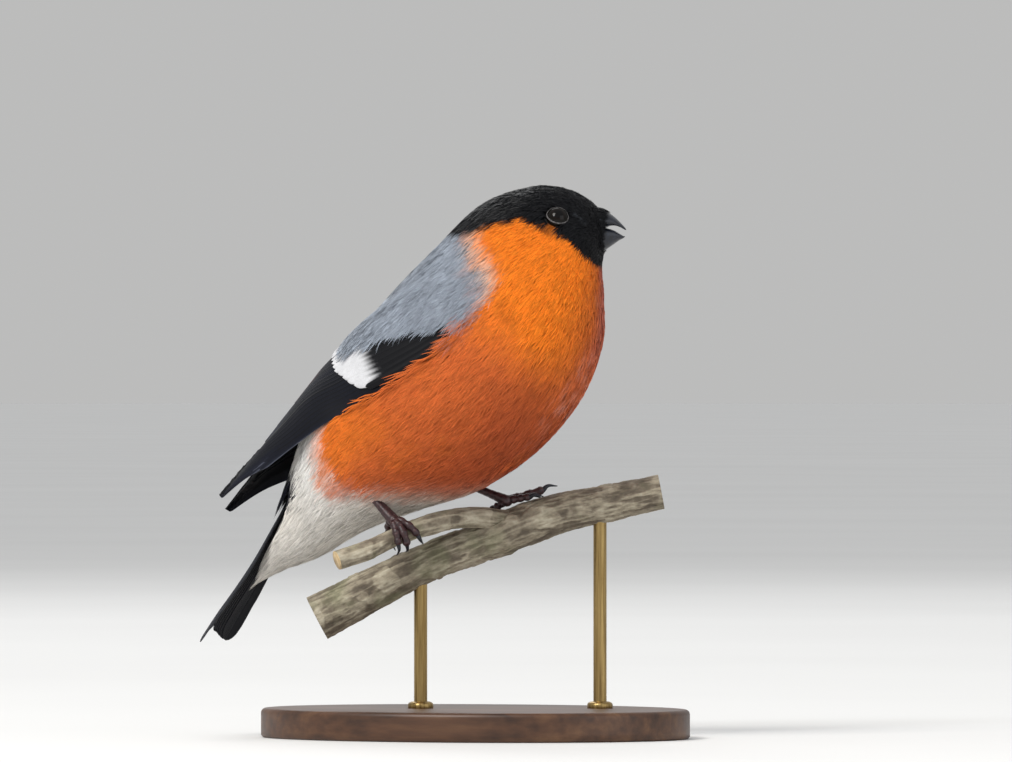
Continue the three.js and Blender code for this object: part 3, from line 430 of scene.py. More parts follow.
def tufts(surf, k0, t0, L, W, ang, nb, rng, depth, top, ribbon, colour, gloss, uvroot, S=3, curl=0.0, fray=0.35, mask=None, push=None):
    """Tufts of barb ribbons rooted at (k0, t0) on a surface.
    surf gives (P, N, Ek, Et) at k, t; L, W, ang, depth, top per tuft."""
    n = len(k0); c = np.linspace(-1, 1, nb)[None, :] + rng.normal(0, 0.10, (n, nb))
    Lb = L[:, None] * (1 - fray * c * c) * rng.uniform(0.78, 1.12, (n, nb))
    P0, N0, Ek, Et = surf(k0, t0)
    pts = []; hts = []
    roll = rng.normal(0, 0.32, (n, nb)); wob = rng.normal(0, 0.05, (n, nb)); bend = rng.normal(0, 0.10, (n, nb)) + curl
    K = []; T = []
    for j in range(S + 1):
        f = j / S
        a = Lb * f; b = c * W[:, None] * (0.45 + 0.55 * f ** 0.8) + Lb * (wob * f + bend * f * f) + c * 0.10 * Lb * f
        ca, sa = np.cos(ang)[:, None], np.sin(ang)[:, None]
        K.append(k0[:, None] + (a * ca - b * sa) / Ek[:, None]); T.append(t0[:, None] + (a * sa + b * ca) / Et[:, None])
    K = np.stack(K, 2); T = np.stack(T, 2)
    P, Nn, _, _ = surf(K, T)
    prof = np.array([0.0, 0.74, 0.98, 1.0, 1.0])[:S + 1] if S == 3 else np.linspace(0, 1, S + 1) ** 0.6
    rise = depth[:, None, None] * (1 - prof)[None, None, :] * -1 + (top[:, None, None] + rng.normal(0, 0.07, (n, nb))[:, :, None] - 0.16 * (c * c)[:, :, None]) * prof[None, None, :]
    if push is not None: rise = rise + body_lift(K, T)
    P = P + Nn * rise[..., None]
    if push is not None: P = push(P, k0)
    d = np.gradient(P, axis=2); d /= np.linalg.norm(d, axis=-1, keepdims=True) + 1e-9
    side = np.cross(Nn, d); side /= np.linalg.norm(side, axis=-1, keepdims=True) + 1e-9
    up = np.cross(d, side)
    sv = side * np.cos(roll)[..., None, None] + up * np.sin(roll)[..., None, None]
    w = ribbon[:, None, None] * np.array([1.0, 1.0, 0.72, 0.0])[None, None, :S + 1] * 0.5
    A = P - sv * w[..., None]; B = P + sv * w[..., None]
    V = np.stack([A[:, :, :S], B[:, :, :S]], 3).reshape(n, nb, 2 * S, 3)
    V = np.concatenate([V, P[:, :, S:S + 1]], 2)
    keep = np.ones((n, nb), bool)
    if mask is not None: keep = mask(P, K, T)
    f = np.repeat(np.arange(S) / S, 2); f = np.append(f, 1.0)
    # painted shade: barbs darker at the root (0.62) towards the tip (1.04), for shade deep in the coat; times a random
    # tone per tuft and per barb
    shade = (0.62 + 0.42 * f)[None, None, :] * rng.uniform(0.86, 1.12, (n, 1, 1)) * rng.uniform(0.88, 1.10, (n, nb, 1))
    col = colour(k0, t0) if callable(colour) else colour
    C = col[:, None, None, :] * shade[..., None]
    G = np.broadcast_to(gloss[:, None, None], (n, nb, 2 * S + 1))
    patch = 0.0015
    U = uvroot[:, None, None, :] + np.stack([np.broadcast_to(c[:, :, None] * patch * 0.9, (n, nb, 2 * S + 1)), np.broadcast_to(((f - 0.5) * 2 * patch)[None, None, :], (n, nb, 2 * S + 1))], -1)
    return V[keep], C[keep], G[keep], np.clip(U[keep], 0, 1)

END_K = 19.3; END_C = look(GP, np.full(60, END_K), np.linspace(-math.pi, math.pi, 60, endpoint=False)).mean(0); END_D = unit(np.array([-0.60, 0, -0.80]))
def surf_body(k, t):
    """The body, run on past its last station as a tapering point."""
    kc = np.minimum(k, END_K); P = look(GP, kc, t); N = look(GN, kc, t); Ek = look(GEK, kc, t); x = np.clip(k - END_K, 0, 4) * 4.6
    w = np.clip(x / 13.0, 0, 0.96)[..., None]; C = END_C + END_D * x[..., None]
    return np.where(x[..., None] > 0, (P + END_D * x[..., None]) * (1 - w) + C * w, P), N, np.where(k > END_K, 4.6, Ek), look(GET, kc, t)

# rows of roots over the body, spacing by region
REG_K = np.array([0.0, 0.6, 1.5, 2.5, 3.5, 4.5, 6.0, 8.0, 12.0, 16.0, 20.0])
REG_SP = np.array([0.42, 0.46, 0.55, 0.66, 0.80, 0.95, 1.2, 1.45, 1.5, 1.45, 1.3])     # mm between tufts
REG_L = np.array([1.0, 1.3, 1.9, 2.6, 3.2, 3.9, 5.0, 6.4, 7.2, 7.6, 6.5])              # mm long
REG_D = np.array([0.35, 0.45, 0.55, 0.65, 0.8, 0.95, 1.2, 1.4, 1.5, 1.4, 1.0])         # coat depth
def depth_at(k): return np.interp(k, REG_K, REG_D)
def body_roots(rng, scale=1.0):
    ks = []; ts = []; k = 0.12; row = 0
    while k < 19.9:
        sp = float(np.interp(k, REG_K, REG_SP)) * scale
        ek = float(np.mean(look(GEK, np.full(24, k), np.linspace(-3, 3, 24))))
        per = float(np.sum(look(GET, np.full(90, k), np.linspace(-math.pi, math.pi, 90, endpoint=False))) * 2 * math.pi / 90)
        m = max(12, int(per / sp))
        # spread along the girth by true arc length
        tt = np.linspace(-math.pi, math.pi, 361); e = look(GET, np.full(361, k), tt); cum = np.concatenate([[0], np.cumsum((e[1:] + e[:-1]) / 2)]); cum /= cum[-1]
        u = (np.arange(m) + 0.5 * (row % 2) + rng.normal(0, 0.22, m)) / m % 1.0
        ts.append(np.interp(u, cum, tt)); ks.append(np.full(m, k) + rng.normal(0, 0.24, m) * sp / ek)
        k += sp * 0.95 / ek; row += 1
    return np.concatenate(ks), np.concatenate(ts)

def uv_of(k, t):
    return np.stack([0.02 + 0.96 * ((t + math.pi) % (2 * math.pi)) / (2 * math.pi), 0.02 + 0.96 * np.clip(k, 0, 20) / 20], -1)

SKIN_NODES = ["head", "neck", "trunk"]
# skin: one closed surface, the coat's depth inside the outline
sk = np.concatenate([np.linspace(0.0, 4.5, 46)[:-1], np.linspace(4.5, 20.6, 110)]); st = np.linspace(-math.pi, math.pi, 145)[:-1]
KK, TT = np.meshgrid(sk, st, indexing="ij")
SP = look(GP, KK, TT) - look(GN, KK, TT) * (depth_at(KK) * 0.92)[..., None]
_u, _d, _n2 = tail_side(SP); _v = SP[..., 1] / tail_half(_u)
_press = np.maximum(0, 2.3 - _d) * smooth(0.27, 0.33, _u) * smooth(1.6, 1.2, np.abs(_v)) * (KK > 16.5)
SP = SP + _n2 * _press[..., None]
def grid_faces(nr, nc, wrap=True):
    i = np.arange(nr - 1)[:, None]; j = np.arange(nc if wrap else nc - 1)[None, :]; j2 = (j + 1) % nc
    a = i * nc + j; b = i * nc + j2; c = (i + 1) * nc + j2; d = (i + 1) * nc + j
    return np.stack([a, b, c, d], -1).reshape(-1, 4)
def with_caps(V, nr, nc, extra=None):
    """Close a wrapped grid at both ends with fans; returns vertices, flat loops, counts."""
    F = grid_faces(nr, nc); G = V.reshape(nr, nc, 3)
    c0, c1 = G[0].mean(0), G[-1].mean(0); n = len(V.reshape(-1, 3)); V2 = np.concatenate([V.reshape(-1, 3), [c0], [c1]])
    j = np.arange(nc); j2 = (j + 1) % nc
    f0 = np.stack([np.full(nc, n), j2, j], 1); f1 = np.stack([np.full(nc, n + 1), (nr - 1) * nc + j, (nr - 1) * nc + j2], 1)
    # outward check
    vol = np.einsum("ij,ij->i", V2[F[:, 0]], np.cross(V2[F[:, 1]], V2[F[:, 2]])).sum() + np.einsum("ij,ij->i", V2[F[:, 0]], np.cross(V2[F[:, 2]], V2[F[:, 3]])).sum()
    vol += np.einsum("ij,ij->i", V2[f0[:, 0]], np.cross(V2[f0[:, 1]], V2[f0[:, 2]])).sum() + np.einsum("ij,ij->i", V2[f1[:, 0]], np.cross(V2[f1[:, 1]], V2[f1[:, 2]])).sum()
    if vol < 0: F = F[:, ::-1]; f0 = f0[:, ::-1]; f1 = f1[:, ::-1]
    loops = np.concatenate([F.ravel(), f0.ravel(), f1.ravel()]); counts = np.concatenate([np.full(len(F), 4), np.full(len(f0) + len(f1), 3)])
    return V2, loops, counts
col, gls = marking(KK, TT)
V, lp, ct = with_caps(SP, len(sk), len(st))
# the skin takes the coat's markings at 0.55: painted shade for the depth of the coat seen through its gaps
skin = new_object("skin", V, lp, MAT_COAT, counts=ct, uv={"OFBake": np.concatenate([uv_of(KK, TT).reshape(-1, 2), [[0.5, 0.01]], [[0.5, 0.99]]])},
                  colour=np.concatenate([col.reshape(-1, 3), [col[0].mean(0)], [col[-1].mean(0)]]) * 0.55, attrs={"gloss": np.append(gls.ravel(), [1, 0])})
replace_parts(skin, *SKIN_NODES)

# coat over the body
rng = np.random.default_rng(5)
k0, t0 = body_roots(rng)
P0 = look(GP, k0, t0); a0 = np.abs(np.degrees(t0))
fp = footprint(k0, t0)
low0 = np.interp(k0, LOW_K, LOW_A); up0 = np.interp(k0, UP_K, UP_A)
inside = (k0 > 8.3) & (k0 < 13.4) & (a0 < low0 + 0.3) & (a0 > up0 + 20)
_u0, _d0, _ = tail_side(P0); _v0 = P0[:, 1] / tail_half(_u0)
under_tail = (k0 > 16.2) & (np.abs(_v0) < 1.12) & (_u0 > 0.22) & (_d0 < 2.0) & ~((_u0 < 0.30) & (_d0 < 0))
keep = ~inside & ~near_eye(P0, 2.72, 2.42) & ~under_tail
# keep the roots that are not under the wing's front, at the eye or under the tail
k0, t0, P0, a0 = k0[keep], t0[keep], P0[keep], a0[keep]
L = np.interp(k0, REG_K, REG_L) * rng.uniform(0.85, 1.15, len(k0))
L = np.where((a0 > 100) & (k0 > 15), L * (1 + 0.45 * smooth(15, 19, k0)), L)
sgn = np.sign(t0)
ang = rng.normal(0, 0.07, len(k0))
# on the flank the lie turns up and back over the wing's lower edge
flank = smooth(16, 2, a0 - np.interp(k0, LOW_K, LOW_A)) * smooth(8.0, 9.5, k0) * smooth(14.5, 12.5, k0) * (a0 > np.interp(k0, LOW_K, LOW_A) - 6)
ang -= sgn * 0.10 * flank
# round the eye the lie parts
for s, c, ax, e1, e2 in EYES:
    d = P0 - c; r = np.hypot(d @ e1, d @ e2); up_ = (d @ e2) / (r + 1e-6)
    near = np.exp(-((r - 2.4) / 1.7) ** 2) * (d @ ax > -1)
    ang += -s * np.clip(up_, -1, 1) * near * 0.5
W = np.interp(k0, REG_K, REG_SP) * 0.95
D = depth_at(k0)
col, gls = marking(k0, t0)
def body_lift(K, T):
    return footprint(K, T) * WING_LIFT
def body_mask(P, K, T):
    ok = ~near_eye(P, 2.60, 2.28).any(axis=2)
    ok &= K[:, :, -1] > -0.30
    return ok
brow = np.zeros(len(k0))
for s_, c_, ax_, e1_, e2_ in EYES:
    d = P0 - c_; r = np.hypot(d @ e1_, (d @ e2_) / 0.9); brow += 0.32 * np.exp(-((r - 2.7) / 0.7) ** 2) * (d @ ax_ > 0)
names = ["coat_face", "coat_head", "coat_throat", "coat_breast", "coat_belly", "coat_flank", "coat_vent"]
total = 0
bounds_k = [0, 2.4, 4.6, 6.9, 9.2, 11.4, 14.0, 21]
for gi, nm in enumerate(names):
    g = np.where((k0 >= bounds_k[gi] - (9 if gi == 0 else 0)) & (k0 < bounds_k[gi + 1]))[0]
    if not len(g): continue
    nb = 11 if gi < 3 else 15
    rib = np.interp(k0[g], [0, 3, 6, 20], [0.17, 0.20, 0.24, 0.27])
    cm = Coat()
    cm.add(*tufts(surf_body, k0[g], t0[g], L[g], W[g], ang[g], nb, rng, D[g], -0.05 + brow[g], rib, col[g], gls[g], uv_of(k0[g], t0[g]), mask=body_mask, push=tail_clear), 3)
    ob = cm.make(nm); total += cm.t
    print(nm, cm.t)
print("body coat", total)

# --------------------------------------------------------------------- vanes
VC = np.array([-1, -0.88, -0.66, -0.4, -0.18, -0.05, 0, 0.05, 0.18, 0.4, 0.66, 0.88, 1.0])
class Vanes:
    def __init__(self): self.V = []; self.L = []; self.K = []; self.C = []; self.G = []; self.Q = []; self.U = []; self.n = 0; self.count = 0
    def add(self, surf, a, b, wo, wi, h0, h1, colour, side=None, gloss=0.8, thick=0.22, ns=44, arch=0.18, shaft=0.10, tip=0.12, wave=0.0, seed=0):
        """A closed thin vane along the line a(s), b(s) of a surface; wo and wi are
        its widths in mm to the low and to the high side of b."""
        s = 1 - (1 - np.linspace(0, 1, ns)) ** 1.25
        A, B = a(s), b(s); P0, N0, Ea, Eb = surf(A, B)
        f = np.sqrt(np.clip(1 - ((s - (1 - tip)) / tip).clip(0, 1) ** 2.2, 0.0, 1)) * (0.55 + 0.45 * smooth(0, 0.18, s)); f[-1] = 0.03
        off = np.where(VC[None] < 0, VC[None] * (wo(s) * f)[:, None], VC[None] * (wi(s) * f)[:, None])
        rg = np.random.default_rng(100 + seed); fr = np.interp(s, np.linspace(0, 1, 30), rg.normal(0, 1, 30)) * wave
        BB = B[:, None] + off / Eb[:, None] * (1 + 0 * off) + (np.abs(VC) > 0.8)[None] * fr[:, None] / Eb[:, None]
        AA = np.broadcast_to(A[:, None], BB.shape) - (off ** 2) * 0.010 / Ea[:, None] * (1 - smooth(0.7, 1, s))[:, None]
        P, N, _, _ = surf(AA, BB)
        h = (h0 + (h1 - h0) * s)[:, None] - arch * VC[None] ** 2 + shaft * np.exp(-(VC[None] / 0.045) ** 2) * (1 - 0.6 * s)[:, None]
        top = P + N * h[..., None]; bot = P + N * (h - thick * (1 - 0.5 * np.abs(VC))[None])[..., None]
        ring = np.concatenate([top, bot[:, ::-1]], 1); nc = ring.shape[1]
        if side is not None: ring = place_wing(ring, side)
        V2, lp, ct = with_caps(ring.reshape(-1, 3), ns, nc)
        # painted shade: the underside of each vane is its top colour at 0.6 with a little black
        c = colour(s[:, None] + 0 * VC[None], VC[None] + 0 * s[:, None]); c2 = np.concatenate([c, (c * 0.6 + BLACK * 0.3)[:, ::-1]], 1)
        mm = s * float(np.sum(np.linalg.norm(np.diff(P0, axis=0), axis=1)))
        q = np.stack([off, np.broadcast_to(mm[:, None], off.shape)], -1); q2 = np.concatenate([q, q[:, ::-1]], 1)
        i = self.count; x0 = (i % 40) / 40.0 + 0.002
        u = np.stack([np.broadcast_to(x0 + 0.010 * (VC[None] + 1) / 2, off.shape), np.broadcast_to(0.01 + 0.98 * s[:, None], off.shape)], -1)
        u2 = np.concatenate([u, (u + np.array([0.0115, 0]))[:, ::-1]], 1)
        ends = lambda x: np.concatenate([x.reshape(-1, x.shape[-1]), [x[0].mean(0)], [x[-1].mean(0)]])
        self.V.append(V2); self.L.append(lp + self.n); self.K.append(ct); self.C.append(ends(c2)); self.Q.append(ends(q2)); self.U.append(ends(u2))
        self.G.append(np.full(len(V2), gloss)); self.n += len(V2); self.count += 1
    def make(self, name):
        return new_object(name, np.concatenate(self.V), np.concatenate(self.L), MAT_VANE, counts=np.concatenate(self.K),
                          uv={"OFBake": np.concatenate(self.U), "vane": np.concatenate(self.Q)}, colour=np.concatenate(self.C), attrs={"gloss": np.concatenate(self.G)})

def line(x0, x1, bow=0.0): return lambda s: x0 + (x1 - x0) * s + bow * 4 * s * (1 - s)
def const(w): return lambda s: w + 0 * s
def flight_colour(fringe, width=0.10, inner=BLACK, gloss_to=BLUE_BLACK):
    def f(s, c):
        base = mixc(np.broadcast_to(inner, s.shape + (3,)), np.broadcast_to(gloss_to, s.shape + (3,)), smooth(0.3, -0.7, c))
        e = smooth(-1 + 2 * width, -1 + 0.4 * width, c) * smooth(0.25, 0.5, s) * smooth(1.0, 0.93, s)
        return mixc(base, np.broadcast_to(fringe, s.shape + (3,)), e)
    return f
# the pale edge colour makes the fringes of the flight feathers, and a painted sheen on the tail feathers' outer edges
BAR = lin(205, 205, 208); FRINGE_AND_SHEEN = lin(84, 88, 102)
def greater_colour(edge, seed):
    def f(s, c):
        w = smooth(edge - 0.05, edge + 0.07, s - 0.05 * (np.abs(c) - 0.5) + 0.02 * np.sin(c * 9 + seed))
        return mixc(np.broadcast_to(BLACK * 1.0, s.shape + (3,)), np.broadcast_to(BAR, s.shape + (3,)) * (1 - 0.10 * np.abs(c) ** 3)[..., None], w)
    return f

_cum = np.concatenate([np.zeros((len(WA), 1)), np.cumsum((WING.Eb[:, 1:] + WING.Eb[:, :-1]) / 2, axis=1) * (WB[1] - WB[0])], 1)
def mm_q(p, m):
    """The q that lies m mm up from the wing's lower edge at p."""
    p, m = np.broadcast_arrays(np.asarray(p, float), np.asarray(m, float)); out = np.empty(p.shape)
    for i in np.ndindex(p.shape):
        r = _cum[int(np.clip((p[i] - WA[0]) / (WA[1] - WA[0]), 0, len(WA) - 1))]; z = np.interp(0.0, WB, r); out[i] = np.interp(m[i] + z, r, WB)
    return out
for side, nm in ((-1, "right"), (1, "left")):
    prim = Vanes(); tips = [0.885, 0.905, 0.925, 0.945, 0.965, 0.984, 1.0]
    # primaries: each lies under its inner neighbour, the outermost along the lower edge
    for i in range(7):
        pt = tips[i]; pos = line(0.34, pt)
        def row(s, i=i, pos=pos): return mm_q(pos(s), 1.25 + (6 - i) * (1.15 - 0.50 * smooth(0.5, 1.0, s)) * (1 - 0.25 * smooth(0.85, 1, s)))
        prim.add(WING, pos, row, lambda s, i=i: 1.35 + 0.5 * (1 - s) + (1.7 * smooth(0.5, 0.85, s) if i > 3 else 0), lambda s, i=i: 3.4 - 0.5 * smooth(0.5, 1, s) + (1.0 * smooth(0.5, 0.85, s) if i < 5 else 0.5 * smooth(0.6, 0.9, s)), -0.20 - 0.10 * i, -0.05 - 0.05 * i, flight_colour(FRINGE_AND_SHEEN * 1.0, 0.07), side=side, tip=0.13, seed=i, gloss=1.0, wave=0.03)
    ob = prim.make(f"primaries_{nm}"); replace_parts(ob, f"wing_{nm}_primaries")
    sec = Vanes()
    for i in range(6):
        f = i / 5.0; pt = 0.725 + 0.095 * f; pos = line(0.34, pt)
        def row(s, i=i, pos=pos): return mm_q(pos(s), 9.3 + (5 - i) * (1.25 - 0.25 * smooth(0.4, 1.0, s)) - 1.2 * smooth(0.5, 1, s))
        sec.add(WING, pos, row, lambda s: 2.0 + 0.5 * (1 - s), lambda s: 3.2 - 0.8 * smooth(0.5, 1, s), 0.10 - 0.05 * i, 0.14 - 0.05 * i, flight_colour(FRINGE_AND_SHEEN * 0.8, 0.10), side=side, tip=0.15, seed=20 + i, gloss=1.0, wave=0.04)
    red = lin(120, 34, 30)
    for i in range(3):
        pt = [0.79, 0.735, 0.655][i]; pos = line(0.34, pt); top = [15.2, 17.0, 18.6][i]
        def row(s, pos=pos, top=top): p = pos(s); return np.minimum(mm_q(p, top - 2.0 * smooth(0.4, 1, s)), 0.86 + 0.02 * i)
        def tc(s, c, i=i):
            b = flight_colour(FRINGE_AND_SHEEN * 0.9, 0.07)(s, c)
            return mixc(b, np.broadcast_to(red, b.shape), (i == 2) * smooth(-0.2, -0.7, c) * smooth(0.45, 0.75, s) * 0.35)
        sec.add(WING, pos, row, lambda s: 3.0 + 0.6 * np.sin(np.pi * s), const(3.0), 0.18 + 0.05 * i, 0.30 + 0.10 * i, tc, side=side, tip=0.24, seed=40 + i, gloss=0.9, arch=0.35, wave=0.05)
    ob = sec.make(f"secondaries_{nm}"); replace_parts(ob, f"wing_{nm}_secondaries")
    # greater coverts, black with broad pale tips that make the wing bar
    gc = Vanes(); n = 13
    for i in range(n):
        f = i / (n - 1.0); q0 = 0.02 + 0.93 * f; pe = float(np.interp(q0, [0.0, 0.10, 0.19, 0.49, 0.95], [0.34, 0.385, 0.418, 0.455, 0.468])); pb = float(np.interp(q0, [0, 0.3, 0.65, 1.0], [0.035, 0.10, 0.20, 0.24]))
        se = (float(np.interp(q0, [0, 0.3, 0.65, 0.8, 0.95], [0.352, 0.352, 0.362, 0.395, 0.43])) - pb) / (pe - pb) if i > 1 else 2.0
        gc.add(WING, line(pb, pe), line(max(0.04, q0 - 0.04), q0 + 0.01), const([0.5, 1.3][i] if i < 2 else 2.3), const(2.3), -0.45 + 0.02 * i - 0.35 * (i < 1), 0.06 + 0.045 * i - 0.35 * (i < 1), greater_colour(se, i), side=side, tip=0.20, seed=60 + i, gloss=0.8, arch=0.24, thick=0.16, shaft=0.07, ns=36, wave=0.10)
    ob = gc.make(f"greater_coverts_{nm}")
    # lesser and median coverts, and the soft edge of the bend of the wing
    rg = np.random.default_rng(71 + side); pp = []; qq = []; p = -0.03; row = 0
    while p < 0.345:
        m = 15; q = (np.arange(m) + 0.5 * (row % 2) + rg.normal(0, 0.2, m)) / (m - 1) * 1.14 - 0.07
        pp.append(np.full(m, p) + rg.normal(0, 0.004, m)); qq.append(q); p += 0.0155; row += 1
    pp = np.concatenate(pp); qq = np.concatenate(qq)
    N_ = len(pp); P_, _, _, _ = WING(pp, qq); nz = fbm(P_, 0.3, 3)
    limit = np.interp(qq, [-0.1, 0, 0.29, 0.37, 0.49, 0.6, 0.65, 1.0], [0.02, 0.05, 0.125, 0.18, 0.225, 0.27, 0.32, 0.36])
    kp = pp < limit - 0.035; pp, qq, P_, nz, limit = pp[kp], qq[kp], P_[kp], nz[kp], limit[kp]
    col = GREY * (1 + 0.12 * nz[:, None]); col = mixc(col, BUFF * 0.95, smooth(0.10, -0.06, qq + 0.04 * nz) * 0.55 * smooth(0.16, 0.05, pp)); col = mixc(col, GREY_PALE_AND_LIT, smooth(0.10, 0.0, pp) * 0.4)
    Vt, Ct, Gt, Ut = tufts(WING, pp, qq, np.full(len(pp), 4.6), np.full(len(pp), 1.7), rg.normal(0, 0.08, len(pp)), 17, rg, np.full(len(pp), 0.9), 0.30 - 1.0 * (1 - smooth(-0.03, 0.09, pp)) - 0.8 * (1 - smooth(-0.04, 0.12, qq)) - 0.6 * smooth(0.86, 1.05, qq), np.full(len(pp), 0.25),
                           col, 0 * pp, np.stack([0.02 + 0.9 * (qq + 0.1) / 1.2, 0.02 + 0.9 * (pp + 0.05) / 0.35], -1), S=3)
    lc = Coat(); lc.add(place_wing(Vt, side), Ct, Gt, Ut, 3); ob = lc.make(f"lesser_coverts_{nm}"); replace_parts(ob, f"wing_{nm}_coverts"); total += lc.t
    # the hand and arm under them: a smooth plate
    u_, v_ = np.meshgrid(np.linspace(0.0, 0.40, 30), np.linspace(0.01, 0.99, 30), indexing="ij"); A_, B_, _, _ = WING(u_, v_)
    hb = (-0.35 - 1.3 * (1 - smooth(0.0, 0.13, u_)) - 0.9 * (1 - smooth(0.0, 0.15, v_)))[..., None]; ring = place_wing(np.concatenate([A_ + B_ * hb, (A_ + B_ * np.minimum(-1.9, hb - 0.3))[:, ::-1]], 1), side); V2, lp, ct = with_caps(ring.reshape(-1, 3), 30, 60)
    uvp = np.concatenate([np.stack([u_ * 2.4, v_ * 0.48], -1), np.stack([u_ * 2.4, 0.5 + v_ * 0.48], -1)[:, ::-1]], 1).reshape(-1, 2)
    # painted shade: the plate is dark under the coverts, grey at half strength at the front and black behind
    pc = np.where((u_ < 0.2)[..., None], GREY * 0.5, BLACK); pc = np.concatenate([pc, pc[:, ::-1]], 1).reshape(-1, 3)
    ob = new_object(f"wing_bed_{nm}", V2, lp, MAT_COAT, counts=ct, uv={"OFBake": np.concatenate([uvp, uvp[:1], uvp[-1:]])}, colour=np.concatenate([pc, pc[:1], pc[-1:]]), attrs={"gloss": np.zeros(len(V2))})

tl = Vanes()
for i in range(6):
    for sd in (-1, 1):
        v1 = sd * (0.30 + 0.118 * i); v0 = sd * (0.10 + 0.06 * i); u1 = 0.966 + 0.026 * smooth(0, 5, i)
        def tcol(s, c, i=i, sd=sd):
            b = mixc(np.broadcast_to(BLACK, s.shape + (3,)), np.broadcast_to(BLUE_BLACK, s.shape + (3,)), 0.8 + 0 * s)
            # painted sheen: a faint paler blue-grey along each tail feather's outer edge
            return mixc(b, np.broadcast_to(FRINGE_AND_SHEEN * 0.4, b.shape), smooth(0.90, 0.99, c * sd) * smooth(0.3, 0.6, s) * 0.25)
        wo = lambda s, sd=sd: (1.6 + 2.3 * smooth(0.1, 0.9, s)) if sd > 0 else (1.5 + 1.5 * smooth(0.1, 0.9, s))
        wi = lambda s, sd=sd: (1.5 + 1.5 * smooth(0.1, 0.9, s)) if sd > 0 else (1.6 + 2.3 * smooth(0.1, 0.9, s))
        tl.add(TAILS, line(0.14, u1), lambda s, v0=v0, v1=v1: v0 + (v1 - v0) * s, wo, wi, -0.075 * i - (0.035 if sd > 0 else 0), -0.05 - 0.070 * i - (0.03 if sd > 0 else 0), tcol, gloss=0.55, tip=0.10, thick=0.13, ns=56, seed=80 + i * 2 + (sd > 0), arch=0.12, wave=0.05)
ob = tl.make("tail_feathers"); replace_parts(ob, "tail")

# ---------------------------------------------------------------------- bill
UP_R = np.array([[35.4, 126.9, 121.9, 3.9], [37.2, 127.3, 122.6, 3.9], [39.0, 126.6, 123.1, 3.4], [40.7, 125.5, 123.3, 2.6], [42.2, 124.1, 122.9, 1.6], [43.3, 122.9, 122.3, 0.6]])
LO_R = np.array([[35.4, 121.5, 115.9, 3.6], [37.2, 122.2, 116.4, 3.6], [39.0, 122.6, 117.7, 3.1], [40.6, 122.2, 118.8, 2.4], [42.0, 121.4, 119.8, 1.5], [43.0, 120.8, 120.3, 0.6]])
def horn_material():
    M = Mat("horn_keratin"); v = M.obj(scale=(1, 1, 1)); a = M.noise(v, 900, 4); b = M.noise(M.obj(scale=(500, 2200, 2600)), 1.0, 3)
    c = M.ramp(M.math("ADD", M.math("MULTIPLY", a, 0.6), M.math("MULTIPLY", b, 0.4)), [(0.25, tuple(lin(15, 17, 23))), (0.55, tuple(lin(26, 29, 39))), (0.85, tuple(lin(48, 54, 68)))])
    M.l(c, M.b.inputs["Base Color"]); M.l(M.math("ADD", M.math("MULTIPLY", b, 0.20), 0.27), M.b.inputs["Roughness"]); M.bump(b, 0.25, 0.0001)
    return M.m
MAT_HORN = horn_material()
def mandible(rows, upper, name):
    sides, cuts = 64, 60; xs = rows[0, 0] + (rows[-1, 0] - rows[0, 0]) * (1 - (1 - np.linspace(0, 1, cuts + 1)) ** 1.25)
    v = spline(rows, xs); top, bot, half = v[:, 0], v[:, 1], v[:, 2]; a = 2 * np.pi * np.arange(sides) / sides; cs, sn = np.cos(a)[None], np.sin(a)[None]
    c = ((top + bot) / 2)[:, None]; h = ((top - bot) / 2)[:, None]; flat = (sn < 0) if upper else (sn > 0)
    zz = np.where(flat, np.sign(sn) * np.abs(sn) ** 0.5 * h, sn * h); lift = (-0.18 if upper else 0.18) * h
    y = cs * half[:, None] * np.where(flat, 1, np.sqrt(1 - 0.12 * sn * sn))
    z = c + zz + lift * (1 - np.abs(sn))
    # a keen cutting edge, overhanging a little on the upper mandible
    edge = np.exp(-((np.abs(sn)) / 0.25) ** 2) * (1 if upper else -1)
    z = z - edge * 0.10; y = y * (1 + 0.02 * np.abs(edge))
    P = turned(np.stack([np.broadcast_to(xs[:, None], y.shape), y, z], -1), 0.0)
    m = P[-1].mean(0); d = turned(np.array([NECK_X + 1.0, 0, 0]), 0.0) - turned(np.array([NECK_X, 0, 0.0]), 0.0)
    for f, sft in ((0.8, 0.14), (0.5, 0.27), (0.2, 0.34)): P = np.concatenate([P, (m + (P[cuts] - m) * f + d * sft + np.array([0, 0, -0.25 if upper else 0.12]) * (sft / 0.35))[None]])
    V2, lp, ct = with_caps(P.reshape(-1, 3), P.shape[0], sides)
    return new_object(name, V2, lp, MAT_HORN, counts=ct)
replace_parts(mandible(UP_R, True, "bill_top"), "bill_upper")
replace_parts(mandible(LO_R, False, "bill_under"), "bill_lower")

# stiff short feathers that lie forward over the base of the bill
bx = np.linspace(35.4, 41.4, 40); ba = np.linspace(-3.6, 3.6, 90); bu = spline(UP_R, np.clip(bx, 35.4, 43)); bl = spline(LO_R, np.clip(bx, 35.4, 43)); out_ = 0.26 + 0.30 * np.clip(37.0 - bx, 0, 3)
bz, bh, bw = (bu[:, 0] + bl[:, 1]) / 2, (bu[:, 0] - bl[:, 1]) / 2 + out_, np.maximum(bu[:, 2], bl[:, 2]) + out_
BP = turned(np.stack([np.broadcast_to(bx[:, None], (40, 90)), bw[:, None] * (np.sign(np.sin(ba)) * np.abs(np.sin(ba)) ** 0.67)[None], bz[:, None] + bh[:, None] * (np.sign(np.cos(ba)) * np.abs(np.cos(ba)) ** 0.67)[None]], -1), 0.0)
ruff = Surf(bx, ba, BP, BP - BP.mean(axis=1, keepdims=True)); rg = np.random.default_rng(23); m = 640
